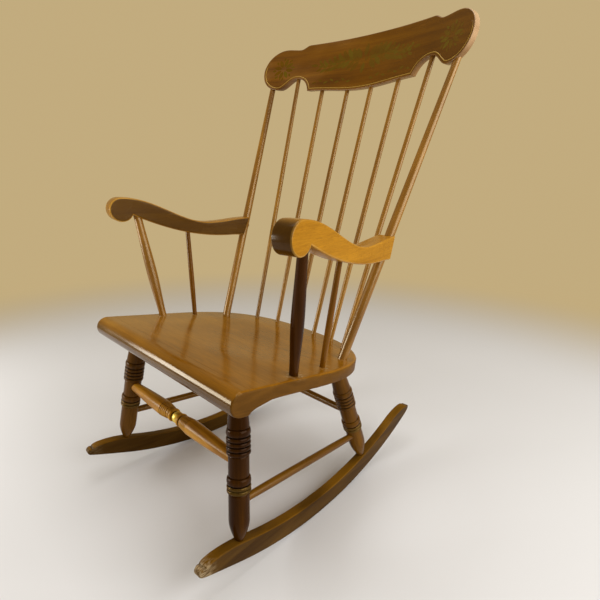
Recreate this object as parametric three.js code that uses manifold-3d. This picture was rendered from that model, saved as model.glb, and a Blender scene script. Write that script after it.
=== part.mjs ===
// Boston rocking chair in stained maple: a sloping seat with a rolled front,
// four turned legs on two sawn rockers, a tall back of six spindles between two
// posts under a bent crest rail, and rolled arms.
//
// Millimetres. +Z is up, the sitter faces -Y and +X is the sitter's left.
// While the pieces are made, y = 0 is the nose of the seat and z = 0 the floor.
// At the end the whole chair is moved so that its origin lies on the floor under
// the middle of its outline.

import * as THREE from 'three';
import { mergeVertices } from 'three/addons/utils/BufferGeometryUtils.js';
import Module from 'manifold-3d';

const wasm = await Module();
wasm.setup();

// Fits
const clearance = 0.3;
const overrun = 30;
const weldDistance = 1e-4;

// Seat: lengths run along its slope from the nose
const seatWidth = 532;
const seatDepth = 472;
const seatThickness = 27;
const seatNoseHeight = 411;
const seatSlopeDegrees = 9.5;
const seatSideLength = 210;
const seatBackExponent = 2.6;
const seatEdgeChamfer = 4;
const rollRadius = 23.5;
const rollLength = 46;
const rollHeelRadius = 8;
const rampLength = 48;
const dishWidth = 392;
const dishLength = 320;
const dishSetback = 252;
const dishDepth = 5;

// Rockers: reaches run along the sole from its middle
const soleRadius = 810;
const soleCentreSetback = 283;
const soleFacet = 24;
const rockerHeight = 42;
const rockerThickness = 22;
const rockerFrontReach = 356.1;
const rockerRearReach = 388;
const rockerNoseTaper = 100;
const rockerTailTaper = 84;
const rockerNoseRadius = 8;
const rockerNoseDrop = 4;
const rockerNoseDropLength = 80;
const rockerTailRadius = 6;
const rockerTipFullness = 0.55;
const rockerInset = 44.5;
const rockerToeDegrees = 3.4;
const rockerChamfer = 2.5;

// Legs: a kick is how far the foot stands out past the head
const frontLegInset = 72;
const frontLegSetback = 72;
const frontLegKick = 38;
const rearLegInset = 73;
const rearLegFromBack = 118;
const rearLegKick = 93;
const legTenonRadius = 11.5;
const legTenonLength = 11;
const legNeckRadius = 15.5;
const legFlareLength = 18;
const legBarrelRadius = 20;
const legRingRadius = 23.2;
const legGrooveDepth = 2.2;
const legLowerRingsShare = 0.33;
const legUpperRingsShare = 0.583;
const legSmallBead = 8;
const legMiddleBead = 9;
const legWideBead = 15;
const legFootRadius = 7.5;
const frontLegFootTaper = 42;
const rearLegFootTaper = 55;
const legFootRecess = 3;
const legFootTenonRadius = 5.5;
const legFootTenonLength = 18;

// Stretchers: their shares are of the legs' lengths, from the foot up
const stretcherTenonLength = 15;
const plainStretcherRadius = 8.5;
const plainStretcherEndRadius = 7.5;
const plainStretcherTaperShare = 0.2;
const sideStretcherFrontShare = 0.2565;
const sideStretcherRearShare = 0.246;
const rearStretcherShare = 0.51;
const frontStretcherShare = 0.527;
const frontStretcherEndRadius = 11;
const frontStretcherSwellRadius = 17.5;
const frontStretcherSwellReach = 52;
const frontStretcherTaperShares = [0.3, 0.62];
const frontStretcherGrooves = 4;
const frontStretcherGrooveDepth = 1.2;
const frontStretcherGroovePitch = 5.5;
const frontStretcherBeadRadius = 15;
const frontStretcherBeadReach = 20;
const frontStretcherCoveRadius = 9;
const frontStretcherCoveWidth = 2.5;
const frontStretcherBallRadius = 13;

// Back
const spindleInset = 22;
const postInset = 27;
const backTenonLength = 13;
const crestTenonLength = 22;
const postRadius = 10.5;
const postTopRadius = 7.5;
const postTaperShare = 0.45;
const spindleRadius = 5.6;
const spindleSwellRadius = 6.4;
const spindleSwellShare = 0.4;
const postFootShare = 0.9;
const postTopShare = 0.894;
const spindleFootShares = [0.136, 0.412, 0.656];
const spindleTopShares = [0.118, 0.377, 0.653];

// Crest rail: reaches run round its bend from the middle, heights run up its rake
const crestRise = 569;
const crestSetback = 638;
const crestRakeDegrees = 20.5;
const crestBendRadius = 835;
const crestThickness = 20;
const crestHeight = 127;
const crestSag = 20;
const crestStepReach = 169;
const crestStepDrop = 9;
const crestArchReach = 218;
const crestArchHeight = 30;
const crestEarReach = 270;
const crestEarRadius = 60;
const crestShoulderReach = 196;
const crestNotchReach = 224;
const crestNotchHeight = 116;

// Arms: reaches run back from the front end, the dip and the belly are measured from the
// post's axis, and rises start at the height of the seat's nose
const armWidth = 40;
const armChamfer = 3;
const armOverhang = 39;
const armFrontSetback = 67;
const armScrollRadius = 29;
const armScrollRise = 246;
const armScrollNotchDegrees = 27;
const armDipFromPost = 113;
const armDipRise = 205;
const armBellyFromPost = 55;
const armBellyRise = 166;
const armRearTopRise = 212;
const armRearBottomRise = 164;
const armCopeDepth = 4;
const armTenonLength = 14;
const supportInset = 22;
const supportSetback = 161;
const supportTopReach = 68;
const supportTopInset = 6;
const supportFootRadius = 9;
const supportSwellRadius = 12.6;
const supportTopRadius = 9.6;
const supportSwellShare = 0.45;
const armSpindleInset = 30;
const armSpindleSetback = 253;
const armSpindleTopReach = 195;
const armSpindleTopInset = 10;
const armSpindleRadius = 5.8;
const armSpindleSwellRadius = 6.6;

// Wood screws that hold the arms to the posts, under wooden plugs
const screwRadius = 2.2;
const screwHeadRadius = 4.2;
const screwHeadHeight = 2.6;
const screwLength = 44;
const screwPointLength = 6;
const plugRadius = 4.8;
const plugLength = 3.4;
const plugCrown = 1;

// Numbers of faces
const legSides = 14;
const stretcherSides = 12;
const stickSides = 10;
const boreSides = 12;
const curveSteps = 8;
const swellSteps = 3;
const bendSteps = 24;
const seatBackSteps = 28;
const rollSteps = 10;
const dishSides = 24;
const dishRings = 4;

// Finishes
const goldenMaple = { color: 0xa36a1f, roughness: 0.32, metalness: 0 };
const brownMaple = { color: 0x7a4a16, roughness: 0.38, metalness: 0 };
const darkMaple = { color: 0x4a2a12, roughness: 0.4, metalness: 0 };
const screwSteel = { color: 0x8f9296, roughness: 0.35, metalness: 0.9 };

const { degToRad, lerp } = THREE.MathUtils;
const chair = new THREE.Group();
const hands = [['left', 1], ['right', -1]];

// Solids

function solidOf(geometry) {
  const bare = geometry.clone();
  bare.deleteAttribute('normal');
  bare.deleteAttribute('uv');
  const welded = mergeVertices(bare, weldDistance);
  const corners = welded.index.array;
  const triangles = [];
  for (let i = 0; i < corners.length; i += 3) {
    const [a, b, c] = corners.slice(i, i + 3);
    if (a !== b && b !== c && c !== a) {
      triangles.push(a, b, c);
    }
  }
  const mesh = new wasm.Mesh({
    numProp: 3,
    vertProperties: new Float32Array(welded.attributes.position.array),
    triVerts: new Uint32Array(triangles),
  });
  return new wasm.Manifold(mesh);
}

function geometryOf(solid) {
  const mesh = solid.getMesh();
  const geometry = new THREE.BufferGeometry();
  geometry.setAttribute('position', new THREE.BufferAttribute(mesh.vertProperties, 3));
  geometry.setIndex(new THREE.BufferAttribute(mesh.triVerts, 1));
  return geometry;
}

// Places a named piece and cuts the given cutters, which stand in the chair's frame, out of it.
function addPiece(name, geometry, finish, placement, cutters = []) {
  const unplaced = placement.clone().invert();
  let solid = solidOf(geometry);
  for (const cutter of cutters) {
    solid = solid.subtract(solidOf(cutter.clone().applyMatrix4(unplaced)));
  }
  const shape = geometryOf(solid).toNonIndexed();
  shape.computeVertexNormals();
  const mesh = new THREE.Mesh(shape, new THREE.MeshStandardMaterial(finish));
  mesh.name = name;
  mesh.applyMatrix4(placement);
  chair.add(mesh);
}

// The placement that stands +Y on a point and aims it at another.
function standing(from, to) {
  const direction = to.clone().sub(from).normalize();
  const turn = new THREE.Quaternion().setFromUnitVectors(new THREE.Vector3(0, 1, 0), direction);
  return new THREE.Matrix4().makeRotationFromQuaternion(turn).setPosition(from);
}

function along(from, to, distance) {
  return from.clone().addScaledVector(to.clone().sub(from).normalize(), distance);
}

// A turned shape about +Y, from a list of [radius, height].
function turned(profile, facets) {
  const points = profile.map(([radius, height]) => new THREE.Vector2(radius, height));
  const foot = new THREE.Vector2(0, profile[0][1]);
  const head = new THREE.Vector2(0, profile[profile.length - 1][1]);
  return new THREE.LatheGeometry([foot, ...points, head], facets);
}

// The hole for a tenon, run out past its mouth. Its flats clear the tenon.
function bore(mouth, inside, radius, depth) {
  const corner = (radius + clearance) / Math.cos(Math.PI / boreSides);
  const length = depth + clearance + overrun;
  const hole = new THREE.CylinderGeometry(corner, corner, length, boreSides);
  hole.translate(0, length / 2 - overrun, 0);
  return hole.applyMatrix4(standing(mouth, inside));
}

// A round stick between two mouths with a plain tenon past each. Its profile lists
// [radius, share of the length between the mouths]. Returns the bores for its tenons.
function addStick(name, foot, head, profile, tenons, facets, finish, cutters = []) {
  const length = foot.distanceTo(head);
  const [footTenon, headTenon] = tenons;
  const footRadius = profile[0][0];
  const headRadius = profile[profile.length - 1][0];
  const rings = profile.map(([radius, share]) => [radius, share * length]);
  const shape = turned([[footRadius, -footTenon], ...rings, [headRadius, length + headTenon]], facets);
  addPiece(name, shape, finish, standing(foot, head), cutters);
  return {
    foot: bore(foot, along(foot, head, -footTenon), footRadius, footTenon),
    head: bore(head, along(head, foot, -headTenon), headRadius, headTenon),
  };
}

// A flat outline of [x, y] points as a prism along +Z.
function prism(outline, depth, chamfer = 0) {
  const shape = new THREE.Shape(outline.map(([x, y]) => new THREE.Vector2(x, y)));
  const solid = new THREE.ExtrudeGeometry(shape, {
    depth: depth - 2 * chamfer,
    bevelEnabled: chamfer > 0,
    bevelThickness: chamfer,
    bevelSize: chamfer,
    bevelOffset: -chamfer,
    bevelSegments: 1,
  });
  return solid.translate(0, 0, chamfer);
}

// A flat outline of [y, z] points as a prism of the given width across x = 0.
function sidePrism(outline, width, chamfer = 0) {
  const turn = new THREE.Matrix4().makeBasis(
    new THREE.Vector3(0, 1, 0),
    new THREE.Vector3(0, 0, 1),
    new THREE.Vector3(1, 0, 0),
  );
  return prism(outline, width, chamfer).translate(0, 0, -width / 2).applyMatrix4(turn);
}

// Outlines, as lists of [across, up]

function arc(centreX, centreY, radius, startDegrees, endDegrees, steps) {
  const points = [];
  for (let i = 0; i <= steps; i += 1) {
    const angle = degToRad(lerp(startDegrees, endDegrees, i / steps));
    points.push([centreX + radius * Math.cos(angle), centreY + radius * Math.sin(angle)]);
  }
  return points;
}

function bend(from, corner, to, steps) {
  const [a, b, c] = [from, corner, to].map(([x, y]) => new THREE.Vector2(x, y));
  return new THREE.QuadraticBezierCurve(a, b, c).getPoints(steps).map(({ x, y }) => [x, y]);
}

// From one point to another, level at both ends.
function wave([startX, startY], [endX, endY], steps) {
  const points = [];
  for (let i = 0; i <= steps; i += 1) {
    const share = i / steps;
    points.push([lerp(startX, endX, share), lerp(startY, endY, (1 - Math.cos(Math.PI * share)) / 2)]);
  }
  return points;
}

// The height of an outline at a distance across it.
function heightAt(outline, x) {
  const last = outline.length - 1;
  const found = outline.findIndex(([across]) => across > x);
  const next = found < 1 ? last : found;
  const [x0, y0] = outline[next - 1];
  const [x1, y1] = outline[next];
  return lerp(y0, y1, (x - x0) / (x1 - x0));
}

// The profile of a stick that swells between its ends.
function swelling(footRadius, swellRadius, headRadius, swellShare) {
  const lower = wave([0, footRadius], [swellShare, swellRadius], swellSteps);
  const upper = wave([swellShare, swellRadius], [1, headRadius], swellSteps);
  return [...lower, ...upper.slice(1)].map(([share, radius]) => [radius, share]);
}

// Seat

const seatPlacement = new THREE.Matrix4()
  .makeRotationX(-degToRad(seatSlopeDegrees))
  .setPosition(0, 0, seatNoseHeight);

function onSeat(x, back, above = 0) {
  return new THREE.Vector3(x, back, above).applyMatrix4(seatPlacement);
}

// The seat's depth at a distance back: a ramp rises from the heel of the roll to the flat underside.
function depthOfSeat(back) {
  const heelDepth = 2 * rollRadius - rollHeelRadius;
  const share = Math.min(1, Math.max(0, (back - rollLength) / rampLength));
  return lerp(heelDepth, seatThickness, share);
}

// A place on the seat's top behind a sitter, on the line that runs inside its edge at the inset.
function backFoot(share, inset, side) {
  const round = (1 - share ** seatBackExponent) ** (1 / seatBackExponent);
  const back = seatSideLength + (seatDepth - seatSideLength - inset) * round;
  return onSeat(side * share * (seatWidth / 2 - inset), back);
}

function seatOutline() {
  const half = [];
  for (let i = 0; i <= seatBackSteps / 2; i += 1) {
    const angle = (Math.PI * i) / seatBackSteps;
    const across = Math.cos(angle) ** (2 / seatBackExponent);
    const back = Math.sin(angle) ** (2 / seatBackExponent);
    half.push([(across * seatWidth) / 2, seatSideLength + back * (seatDepth - seatSideLength)]);
  }
  half.unshift([seatWidth / 2, rollRadius]);
  const otherHalf = half.slice(0, -1).map(([x, y]) => [-x, y]);
  return [...half, ...otherHalf.reverse()];
}

function rollOutline() {
  const heel = rollLength - rollHeelRadius;
  const bottom = -2 * rollRadius;
  return [
    ...arc(rollRadius, -rollRadius, rollRadius, 90, 270, rollSteps),
    ...arc(heel, bottom + rollHeelRadius, rollHeelRadius, -90, 0, rollSteps / 2),
    [rollLength + rampLength, -seatThickness],
    [rollLength + rampLength, 0],
  ];
}

function dishCutter() {
  const profile = [];
  for (let i = 0; i <= dishRings + 1; i += 1) {
    const share = i / dishRings;
    profile.push([(share * dishWidth) / 2, dishDepth * (share * share - 1)]);
  }
  profile.push([profile[profile.length - 1][0], overrun]);
  const dish = turned(profile, dishSides).rotateX(Math.PI / 2);
  return dish.scale(1, dishLength / dishWidth, 1).translate(0, dishSetback, 0).applyMatrix4(seatPlacement);
}

function addSeat(bores) {
  const board = prism(seatOutline(), seatThickness, seatEdgeChamfer).translate(0, 0, -seatThickness);
  const roll = sidePrism(rollOutline(), seatWidth, seatEdgeChamfer);
  const blank = geometryOf(solidOf(board).add(solidOf(roll)));
  addPiece('seat', blank, goldenMaple, seatPlacement, [dishCutter(), ...bores]);
}

// Rockers

const toe = degToRad(rockerToeDegrees);

function rockerPlacement(side) {
  const placement = new THREE.Matrix4().makeRotationZ(side * toe);
  return placement.setPosition(side * (seatWidth / 2 - rockerInset), soleCentreSetback, 0);
}

// The side of a rocker, as [along, up] from the middle of its sole.
function onRocker(reach, height) {
  const angle = Math.asin(reach / soleRadius);
  const radius = soleRadius - height;
  return [radius * Math.sin(angle), soleRadius - radius * Math.cos(angle)];
}

// A rocker's two ends: how far each reaches, how long it tapers and how its tip is rounded.
const rockerNose = {
  end: rockerFrontReach,
  taper: rockerNoseTaper,
  radius: rockerNoseRadius,
  drop: rockerNoseDrop,
};
const rockerTail = { end: rockerRearReach, taper: rockerTailTaper, radius: rockerTailRadius, drop: 0 };

// The height of a rocker over its sole's circle, which falls to its two tips.
function rockerRise(reach) {
  const { end, taper, radius, drop } = reach < 0 ? rockerNose : rockerTail;
  const full = end - taper;
  const share = Math.min(1, Math.max(0, (Math.abs(reach) - full) / (taper - radius)));
  const fullness = Math.cos((share * Math.PI) / 2) ** rockerTipFullness;
  return lerp(2 * radius - drop, rockerHeight, fullness);
}

// How far a rocker's nose hangs below the sole's circle, in front of the floor that it rolls on.
function noseDrop(reach) {
  const start = rockerFrontReach - rockerNoseRadius - rockerNoseDropLength;
  const share = Math.max(0, (-reach - start) / rockerNoseDropLength);
  return rockerNoseDrop * share ** 2;
}

// The sole's corners: one flat lies level under its middle.
function soleReaches() {
  const facet = 2 * Math.asin(soleFacet / 2 / soleRadius);
  const front = rockerNoseRadius - rockerFrontReach;
  const rear = rockerRearReach - rockerTailRadius;
  const reaches = [front];
  const first = Math.ceil(Math.asin(front / soleRadius) / facet);
  for (let i = first; Math.sin((i + 0.5) * facet) * soleRadius < rear; i += 1) {
    const reach = Math.sin((i + 0.5) * facet) * soleRadius;
    if (reach > front) {
      reaches.push(reach);
    }
  }
  return [...reaches, rear];
}

// The top's corners from a full height out to a tip, closer together as it falls.
function fallReaches({ end, taper, radius }) {
  const reaches = [];
  for (let i = 0; i <= curveSteps; i += 1) {
    const share = Math.sin((i / curveSteps) * (Math.PI / 2));
    reaches.push(end - taper + share * (taper - radius));
  }
  return reaches;
}

function rockerOutline() {
  const reaches = soleReaches();
  const front = reaches[0];
  const rear = reaches[reaches.length - 1];
  const sole = reaches.map((reach) => [reach, -noseDrop(reach)]);
  const noseFall = fallReaches(rockerNose).map((reach) => -reach);
  const tailFall = fallReaches(rockerTail);
  const level = reaches.filter((reach) => reach > noseFall[0] && reach < tailFall[0]);
  const topReaches = [...noseFall.reverse(), ...level, ...tailFall];
  const top = topReaches.map((reach) => [reach, rockerRise(reach)]).reverse();
  const noseHeight = rockerNoseRadius - rockerNoseDrop;
  const tail = arc(rear, rockerTailRadius, rockerTailRadius, -90, 90, curveSteps / 2).slice(1, -1);
  const nose = arc(front, noseHeight, rockerNoseRadius, 90, 270, curveSteps / 2).slice(1, -1);
  return [...sole, ...tail, ...top, ...nose].map(([reach, height]) => onRocker(reach, height));
}

function footOnRocker(setback, side) {
  const level = (setback - soleCentreSetback) / Math.cos(toe);
  const reach = (level * soleRadius) / (soleRadius - rockerHeight);
  const [y, z] = onRocker(reach, rockerRise(reach));
  return new THREE.Vector3(0, y, z).applyMatrix4(rockerPlacement(side));
}

// Legs: each has its foot on a rocker and its head in the seat's underside

function legEnds(inset, back, kick, taper, side) {
  const head = onSeat(side * (seatWidth / 2 - inset), back, -depthOfSeat(back));
  return { foot: footOnRocker(head.y + kick, side), head, taper, bores: [] };
}

const legs = {};
for (const [hand, side] of hands) {
  const rearBack = seatDepth - rearLegFromBack;
  legs[`front_leg_${hand}`] = legEnds(
    frontLegInset,
    frontLegSetback,
    -frontLegKick,
    frontLegFootTaper,
    side,
  );
  legs[`rear_leg_${hand}`] = legEnds(rearLegInset, rearBack, rearLegKick, rearLegFootTaper, side);
}

// A tenon and the rounded taper above it. With room to spare it is the cutter for its socket.
function legFoot(length, room) {
  const spread = room / Math.cos(Math.PI / boreSides);
  const taper = [];
  for (let i = 1; i <= curveSteps / 2; i += 1) {
    const share = (2 * i) / curveSteps;
    const radius = lerp(legFootRadius, legBarrelRadius, Math.sin((share * Math.PI) / 2));
    taper.push([radius + spread, share * length]);
  }
  return [
    [legFootTenonRadius + spread, -legFootTenonLength - room],
    [legFootTenonRadius + spread, -legFootRecess - room],
    [legFootRadius + spread, -legFootRecess - room],
    [legFootRadius + spread, 0],
    ...taper,
  ];
}

// Turned beads, one after another, with a groove before and after each.
function beads(start, widths) {
  const groove = legRingRadius - legGrooveDepth;
  const rings = [[legBarrelRadius, start], [groove, start]];
  let height = start;
  for (const width of widths) {
    rings.push([legRingRadius, height + width / 4], [legRingRadius, height + (width * 3) / 4]);
    height += width;
    rings.push([groove, height]);
  }
  return rings;
}

function legProfile({ foot, head, taper }) {
  const length = foot.distanceTo(head);
  const axis = head.clone().sub(foot).normalize();
  const upright = onSeat(0, 0, 1).sub(onSeat(0, 0));
  const shoulder = legNeckRadius * Math.tan(axis.angleTo(upright)) + clearance;
  const lower = beads(legLowerRingsShare * length, [legSmallBead, legSmallBead, legWideBead]);
  const middles = [legMiddleBead, legMiddleBead, legMiddleBead, legMiddleBead];
  const upper = beads(legUpperRingsShare * length, [...middles, legWideBead]);
  const flare = upper[upper.length - 1][1] + legFlareLength;
  return [
    ...legFoot(taper, 0),
    ...lower,
    [legBarrelRadius, lower[lower.length - 1][1]],
    ...upper,
    [legNeckRadius, flare],
    [legTenonRadius, length - shoulder],
    [legTenonRadius, length + legTenonLength],
  ];
}

function addLegs() {
  for (const [name, leg] of Object.entries(legs)) {
    addPiece(name, turned(legProfile(leg), legSides), darkMaple, standing(leg.foot, leg.head), leg.bores);
  }
}

function legSeatBores() {
  return Object.values(legs).map(({ foot, head }) => {
    const inside = along(head, foot, -legTenonLength);
    return bore(head, inside, legTenonRadius, legTenonLength);
  });
}

function addRockers() {
  for (const [hand, side] of hands) {
    const standsHere = Object.entries(legs).filter(([name]) => name.endsWith(hand));
    const cutters = standsHere.map(([, { foot, head, taper }]) => {
      const socket = legFoot(taper, clearance);
      const [radius, height] = socket[socket.length - 1];
      socket.push([radius, height + overrun]);
      return turned(socket, boreSides).applyMatrix4(standing(foot, head));
    });
    const blank = sidePrism(rockerOutline(), rockerThickness, rockerChamfer);
    addPiece(`rocker_${hand}`, blank, brownMaple, rockerPlacement(side), cutters);
  }
}

// Stretchers

function onLeg({ foot, head }, share) {
  return foot.clone().lerp(head, share);
}

// The place where a line from a leg's axis comes out of the leg's barrel.
function outOfLeg({ foot, head }, from, to) {
  const slant = head.clone().sub(foot).angleTo(to.clone().sub(from));
  return along(from, to, legBarrelRadius / Math.sin(slant));
}

function addStretcher(name, fromLeg, fromShare, toLeg, toShare, profileOf) {
  const from = onLeg(fromLeg, fromShare);
  const to = onLeg(toLeg, toShare);
  const start = outOfLeg(fromLeg, from, to);
  const end = outOfLeg(toLeg, to, from);
  const tenons = [stretcherTenonLength, stretcherTenonLength];
  const profile = profileOf(start.distanceTo(end));
  const bores = addStick(name, start, end, profile, tenons, stretcherSides, brownMaple);
  fromLeg.bores.push(bores.foot);
  toLeg.bores.push(bores.head);
}

function plainProfile() {
  return [
    [plainStretcherEndRadius, 0],
    [plainStretcherRadius, plainStretcherTaperShare],
    [plainStretcherRadius, 1 - plainStretcherTaperShare],
    [plainStretcherEndRadius, 1],
  ];
}

// A gilt ball between two coves and beads, then a grooved swell that tapers to each end.
function frontProfile(length) {
  const ballEnd = THREE.MathUtils.radToDeg(Math.asin(frontStretcherCoveRadius / frontStretcherBallRadius));
  const ball = arc(0, 0, frontStretcherBallRadius, 90, ballEnd, curveSteps / 2);
  const coveEnd = ball[ball.length - 1][0] + frontStretcherCoveWidth;
  const beadWidth = frontStretcherBeadReach - coveEnd;
  const half = [
    ...ball,
    [coveEnd, frontStretcherCoveRadius],
    [coveEnd + beadWidth / 4, frontStretcherBeadRadius],
    [coveEnd + (beadWidth * 3) / 4, frontStretcherBeadRadius],
    [frontStretcherBeadReach, frontStretcherBeadRadius - frontStretcherGrooveDepth],
  ];
  const grooved = frontStretcherGrooves * frontStretcherGroovePitch;
  const firstGroove = frontStretcherSwellReach - grooved;
  for (let i = 0; i < frontStretcherGrooves; i += 1) {
    const start = firstGroove + i * frontStretcherGroovePitch;
    const rise = (start + frontStretcherGroovePitch / 2 - firstGroove) / grooved;
    const radius = lerp(frontStretcherBeadRadius, frontStretcherSwellRadius, rise);
    half.push([start, radius - frontStretcherGrooveDepth]);
    half.push([start + frontStretcherGroovePitch / 4, radius]);
    half.push([start + (frontStretcherGroovePitch * 3) / 4, radius]);
  }
  half.push([frontStretcherSwellReach, frontStretcherSwellRadius - frontStretcherGrooveDepth]);
  half.push([frontStretcherSwellReach + frontStretcherGroovePitch / 4, frontStretcherSwellRadius]);
  const taper = length / 2 - frontStretcherSwellReach;
  for (const share of frontStretcherTaperShares) {
    const radius = lerp(frontStretcherSwellRadius, frontStretcherEndRadius, share ** 1.5);
    half.push([frontStretcherSwellReach + share * taper, radius]);
  }
  half.push([length / 2, frontStretcherEndRadius]);
  const otherHalf = half.slice(1).map(([reach, radius]) => [-reach, radius]);
  return [...otherHalf.reverse(), ...half].map(([reach, radius]) => [radius, 0.5 + reach / length]);
}

function addStretchers() {
  for (const [hand] of hands) {
    addStretcher(
      `side_stretcher_${hand}`,
      legs[`front_leg_${hand}`],
      sideStretcherFrontShare,
      legs[`rear_leg_${hand}`],
      sideStretcherRearShare,
      plainProfile,
    );
  }
  const pairs = [
    ['front', frontStretcherShare, frontProfile],
    ['rear', rearStretcherShare, plainProfile],
  ];
  for (const [end, share, profileOf] of pairs) {
    const [left, right] = [legs[`${end}_leg_left`], legs[`${end}_leg_right`]];
    addStretcher(`${end}_stretcher`, left, share, right, share, profileOf);
  }
}

// Crest rail: its face leans back by the rake and bends forward at its ends

const rake = degToRad(crestRakeDegrees);
const crestPlacement = new THREE.Matrix4().setPosition(0, crestSetback, seatNoseHeight + crestRise);
const crestLean = new THREE.Matrix4().makeBasis(
  new THREE.Vector3(1, 0, 0),
  new THREE.Vector3(0, 1, 0),
  new THREE.Vector3(0, Math.sin(rake), Math.cos(rake)),
);

function bent(reach) {
  return crestBendRadius * Math.sin(reach / crestBendRadius);
}

// The lower edge, from the middle to the end of the ear.
const archWidth = crestArchReach - crestStepReach;
const crestLowerEdge = [
  ...wave([0, -crestSag], [crestStepReach, -crestStepDrop], curveSteps / 2),
  ...bend(
    [crestStepReach, -crestStepDrop],
    [crestStepReach + archWidth / 4, crestArchHeight],
    [crestArchReach, crestArchHeight],
    curveSteps,
  ).slice(1),
  ...wave([crestArchReach, crestArchHeight], [crestEarReach, 0], curveSteps).slice(1),
  ...arc(crestEarReach, crestEarRadius, crestEarRadius, -90, 0, curveSteps).slice(1),
];

const crestUpperEdge = [
  ...arc(crestEarReach, crestEarRadius, crestEarRadius, 0, 90, curveSteps).slice(1),
  ...wave([crestEarReach, 2 * crestEarRadius], [crestNotchReach, crestNotchHeight], curveSteps / 2).slice(1),
  ...wave([crestNotchReach, crestNotchHeight], [crestShoulderReach, crestHeight], curveSteps / 2).slice(1),
];

function addCrestRail(bores) {
  const half = [...crestLowerEdge, ...crestUpperEdge].map(([reach, height]) => [bent(reach), height]);
  const otherHalf = half.slice(1).map(([x, y]) => [-x, y]);
  const depth = 2 * crestBendRadius;
  const front = prism([...half, ...otherHalf.reverse()], depth).translate(0, 0, -depth / 2);
  front.rotateX(Math.PI / 2);

  const span = THREE.MathUtils.radToDeg((crestEarReach + 2 * crestEarRadius) / crestBendRadius);
  const halfThickness = crestThickness / 2 / Math.cos(rake);
  const outer = arc(0, -crestBendRadius, crestBendRadius + halfThickness, 90 - span, 90 + span, bendSteps);
  const inner = arc(0, -crestBendRadius, crestBendRadius - halfThickness, 90 + span, 90 - span, bendSteps);
  const sheetHeight = crestSag + crestHeight + 2 * overrun;
  const sheet = prism([...outer, ...inner], sheetHeight).translate(0, 0, -crestSag - overrun);

  const board = geometryOf(solidOf(front).intersect(solidOf(sheet))).applyMatrix4(crestLean);
  addPiece('crest_rail', board, brownMaple, crestPlacement, bores);
}

function crestMouth(share, side) {
  const reach = share * (crestEarReach + crestEarRadius);
  const x = bent(reach);
  const forward = crestBendRadius - Math.sqrt(crestBendRadius ** 2 - x ** 2);
  const place = new THREE.Vector3(side * x, -forward, heightAt(crestLowerEdge, reach));
  return place.applyMatrix4(crestLean).applyMatrix4(crestPlacement);
}

// Arms

function postLine(side) {
  return { foot: backFoot(postFootShare, postInset, side), head: crestMouth(postTopShare, side) };
}

// An arm's middle line, from its front end to the axis of the post behind it.
function armLine(side) {
  const { foot, head } = postLine(side);
  const height = seatNoseHeight + (armRearTopRise + armRearBottomRise) / 2;
  const rear = foot.clone().lerp(head, (height - foot.z) / (head.z - foot.z));
  const front = new THREE.Vector3(side * (seatWidth / 2 + armOverhang), armFrontSetback, height);
  const back = rear.clone().sub(front).normalize();
  const postLean = head.clone().sub(foot).dot(back) / (head.z - foot.z);
  return { front, rear, back, postLean, length: front.distanceTo(rear) };
}

function armPlacement(side) {
  const { front, back } = armLine(side);
  const placement = new THREE.Matrix4().makeRotationZ(Math.atan2(-back.x, back.y));
  return placement.setPosition(front.x, front.y, seatNoseHeight);
}

// The rear end of an arm follows the lean of its post.
function armEnd(rise) {
  const { length, postLean } = armLine(1);
  const middle = (armRearTopRise + armRearBottomRise) / 2;
  return [length + (rise - middle) * postLean - postRadius + armCopeDepth, rise];
}

function armUnderside() {
  const scroll = arc(armScrollRadius, armScrollRise, armScrollRadius, 360 - armScrollNotchDegrees, 360, 1);
  const [notch] = scroll;
  const belly = [armLine(1).length - armBellyFromPost, armBellyRise];
  const corner = [(notch[0] + belly[0]) / 2, armBellyRise];
  return [...bend(notch, corner, belly, curveSteps), armEnd(armRearBottomRise)];
}

function armOutline() {
  const scrollTop = [armScrollRadius, armScrollRise + armScrollRadius];
  const dip = [armLine(1).length - armDipFromPost, armDipRise];
  const notchAngle = 360 - armScrollNotchDegrees;
  return [
    ...arc(armScrollRadius, armScrollRise, armScrollRadius, 90, notchAngle, 2 * curveSteps).slice(0, -1),
    ...armUnderside(),
    ...wave(armEnd(armRearTopRise), dip, curveSteps / 2),
    ...wave(dip, scrollTop, curveSteps).slice(1, -1),
  ];
}

function underArm(reach, inset, side) {
  const place = new THREE.Vector3(-side * inset, reach, heightAt(armUnderside(), reach));
  return place.applyMatrix4(armPlacement(side));
}

// The screw runs forward through the post into the end of the arm.
function addArmScrew(hand, side) {
  const { front, rear } = armLine(side);
  const { foot, head } = postLine(side);
  const slant = head.clone().sub(foot).angleTo(front.clone().sub(rear));
  const postBack = along(rear, front, -postRadius / Math.sin(slant));
  const headTop = along(postBack, front, plugLength + clearance);
  const point = along(headTop, front, screwLength);
  const screw = [
    [screwHeadRadius, 0],
    [screwRadius, screwHeadHeight],
    [screwRadius, screwLength - screwPointLength],
    [screwRadius / 4, screwLength],
  ];
  const plug = [
    [plugRadius, 0],
    [plugRadius, plugLength],
    [plugRadius - plugCrown, plugLength + plugCrown],
  ];
  const plugBottom = along(postBack, front, plugLength);
  addPiece(`arm_screw_${hand}`, turned(screw, stickSides), screwSteel, standing(headTop, front));
  addPiece(`screw_plug_${hand}`, turned(plug, stickSides), brownMaple, standing(plugBottom, postBack));
  return {
    shank: bore(postBack, front, screwRadius, postBack.distanceTo(point)),
    counterbore: bore(postBack, front, plugRadius, plugLength + clearance + screwHeadHeight),
  };
}

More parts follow.
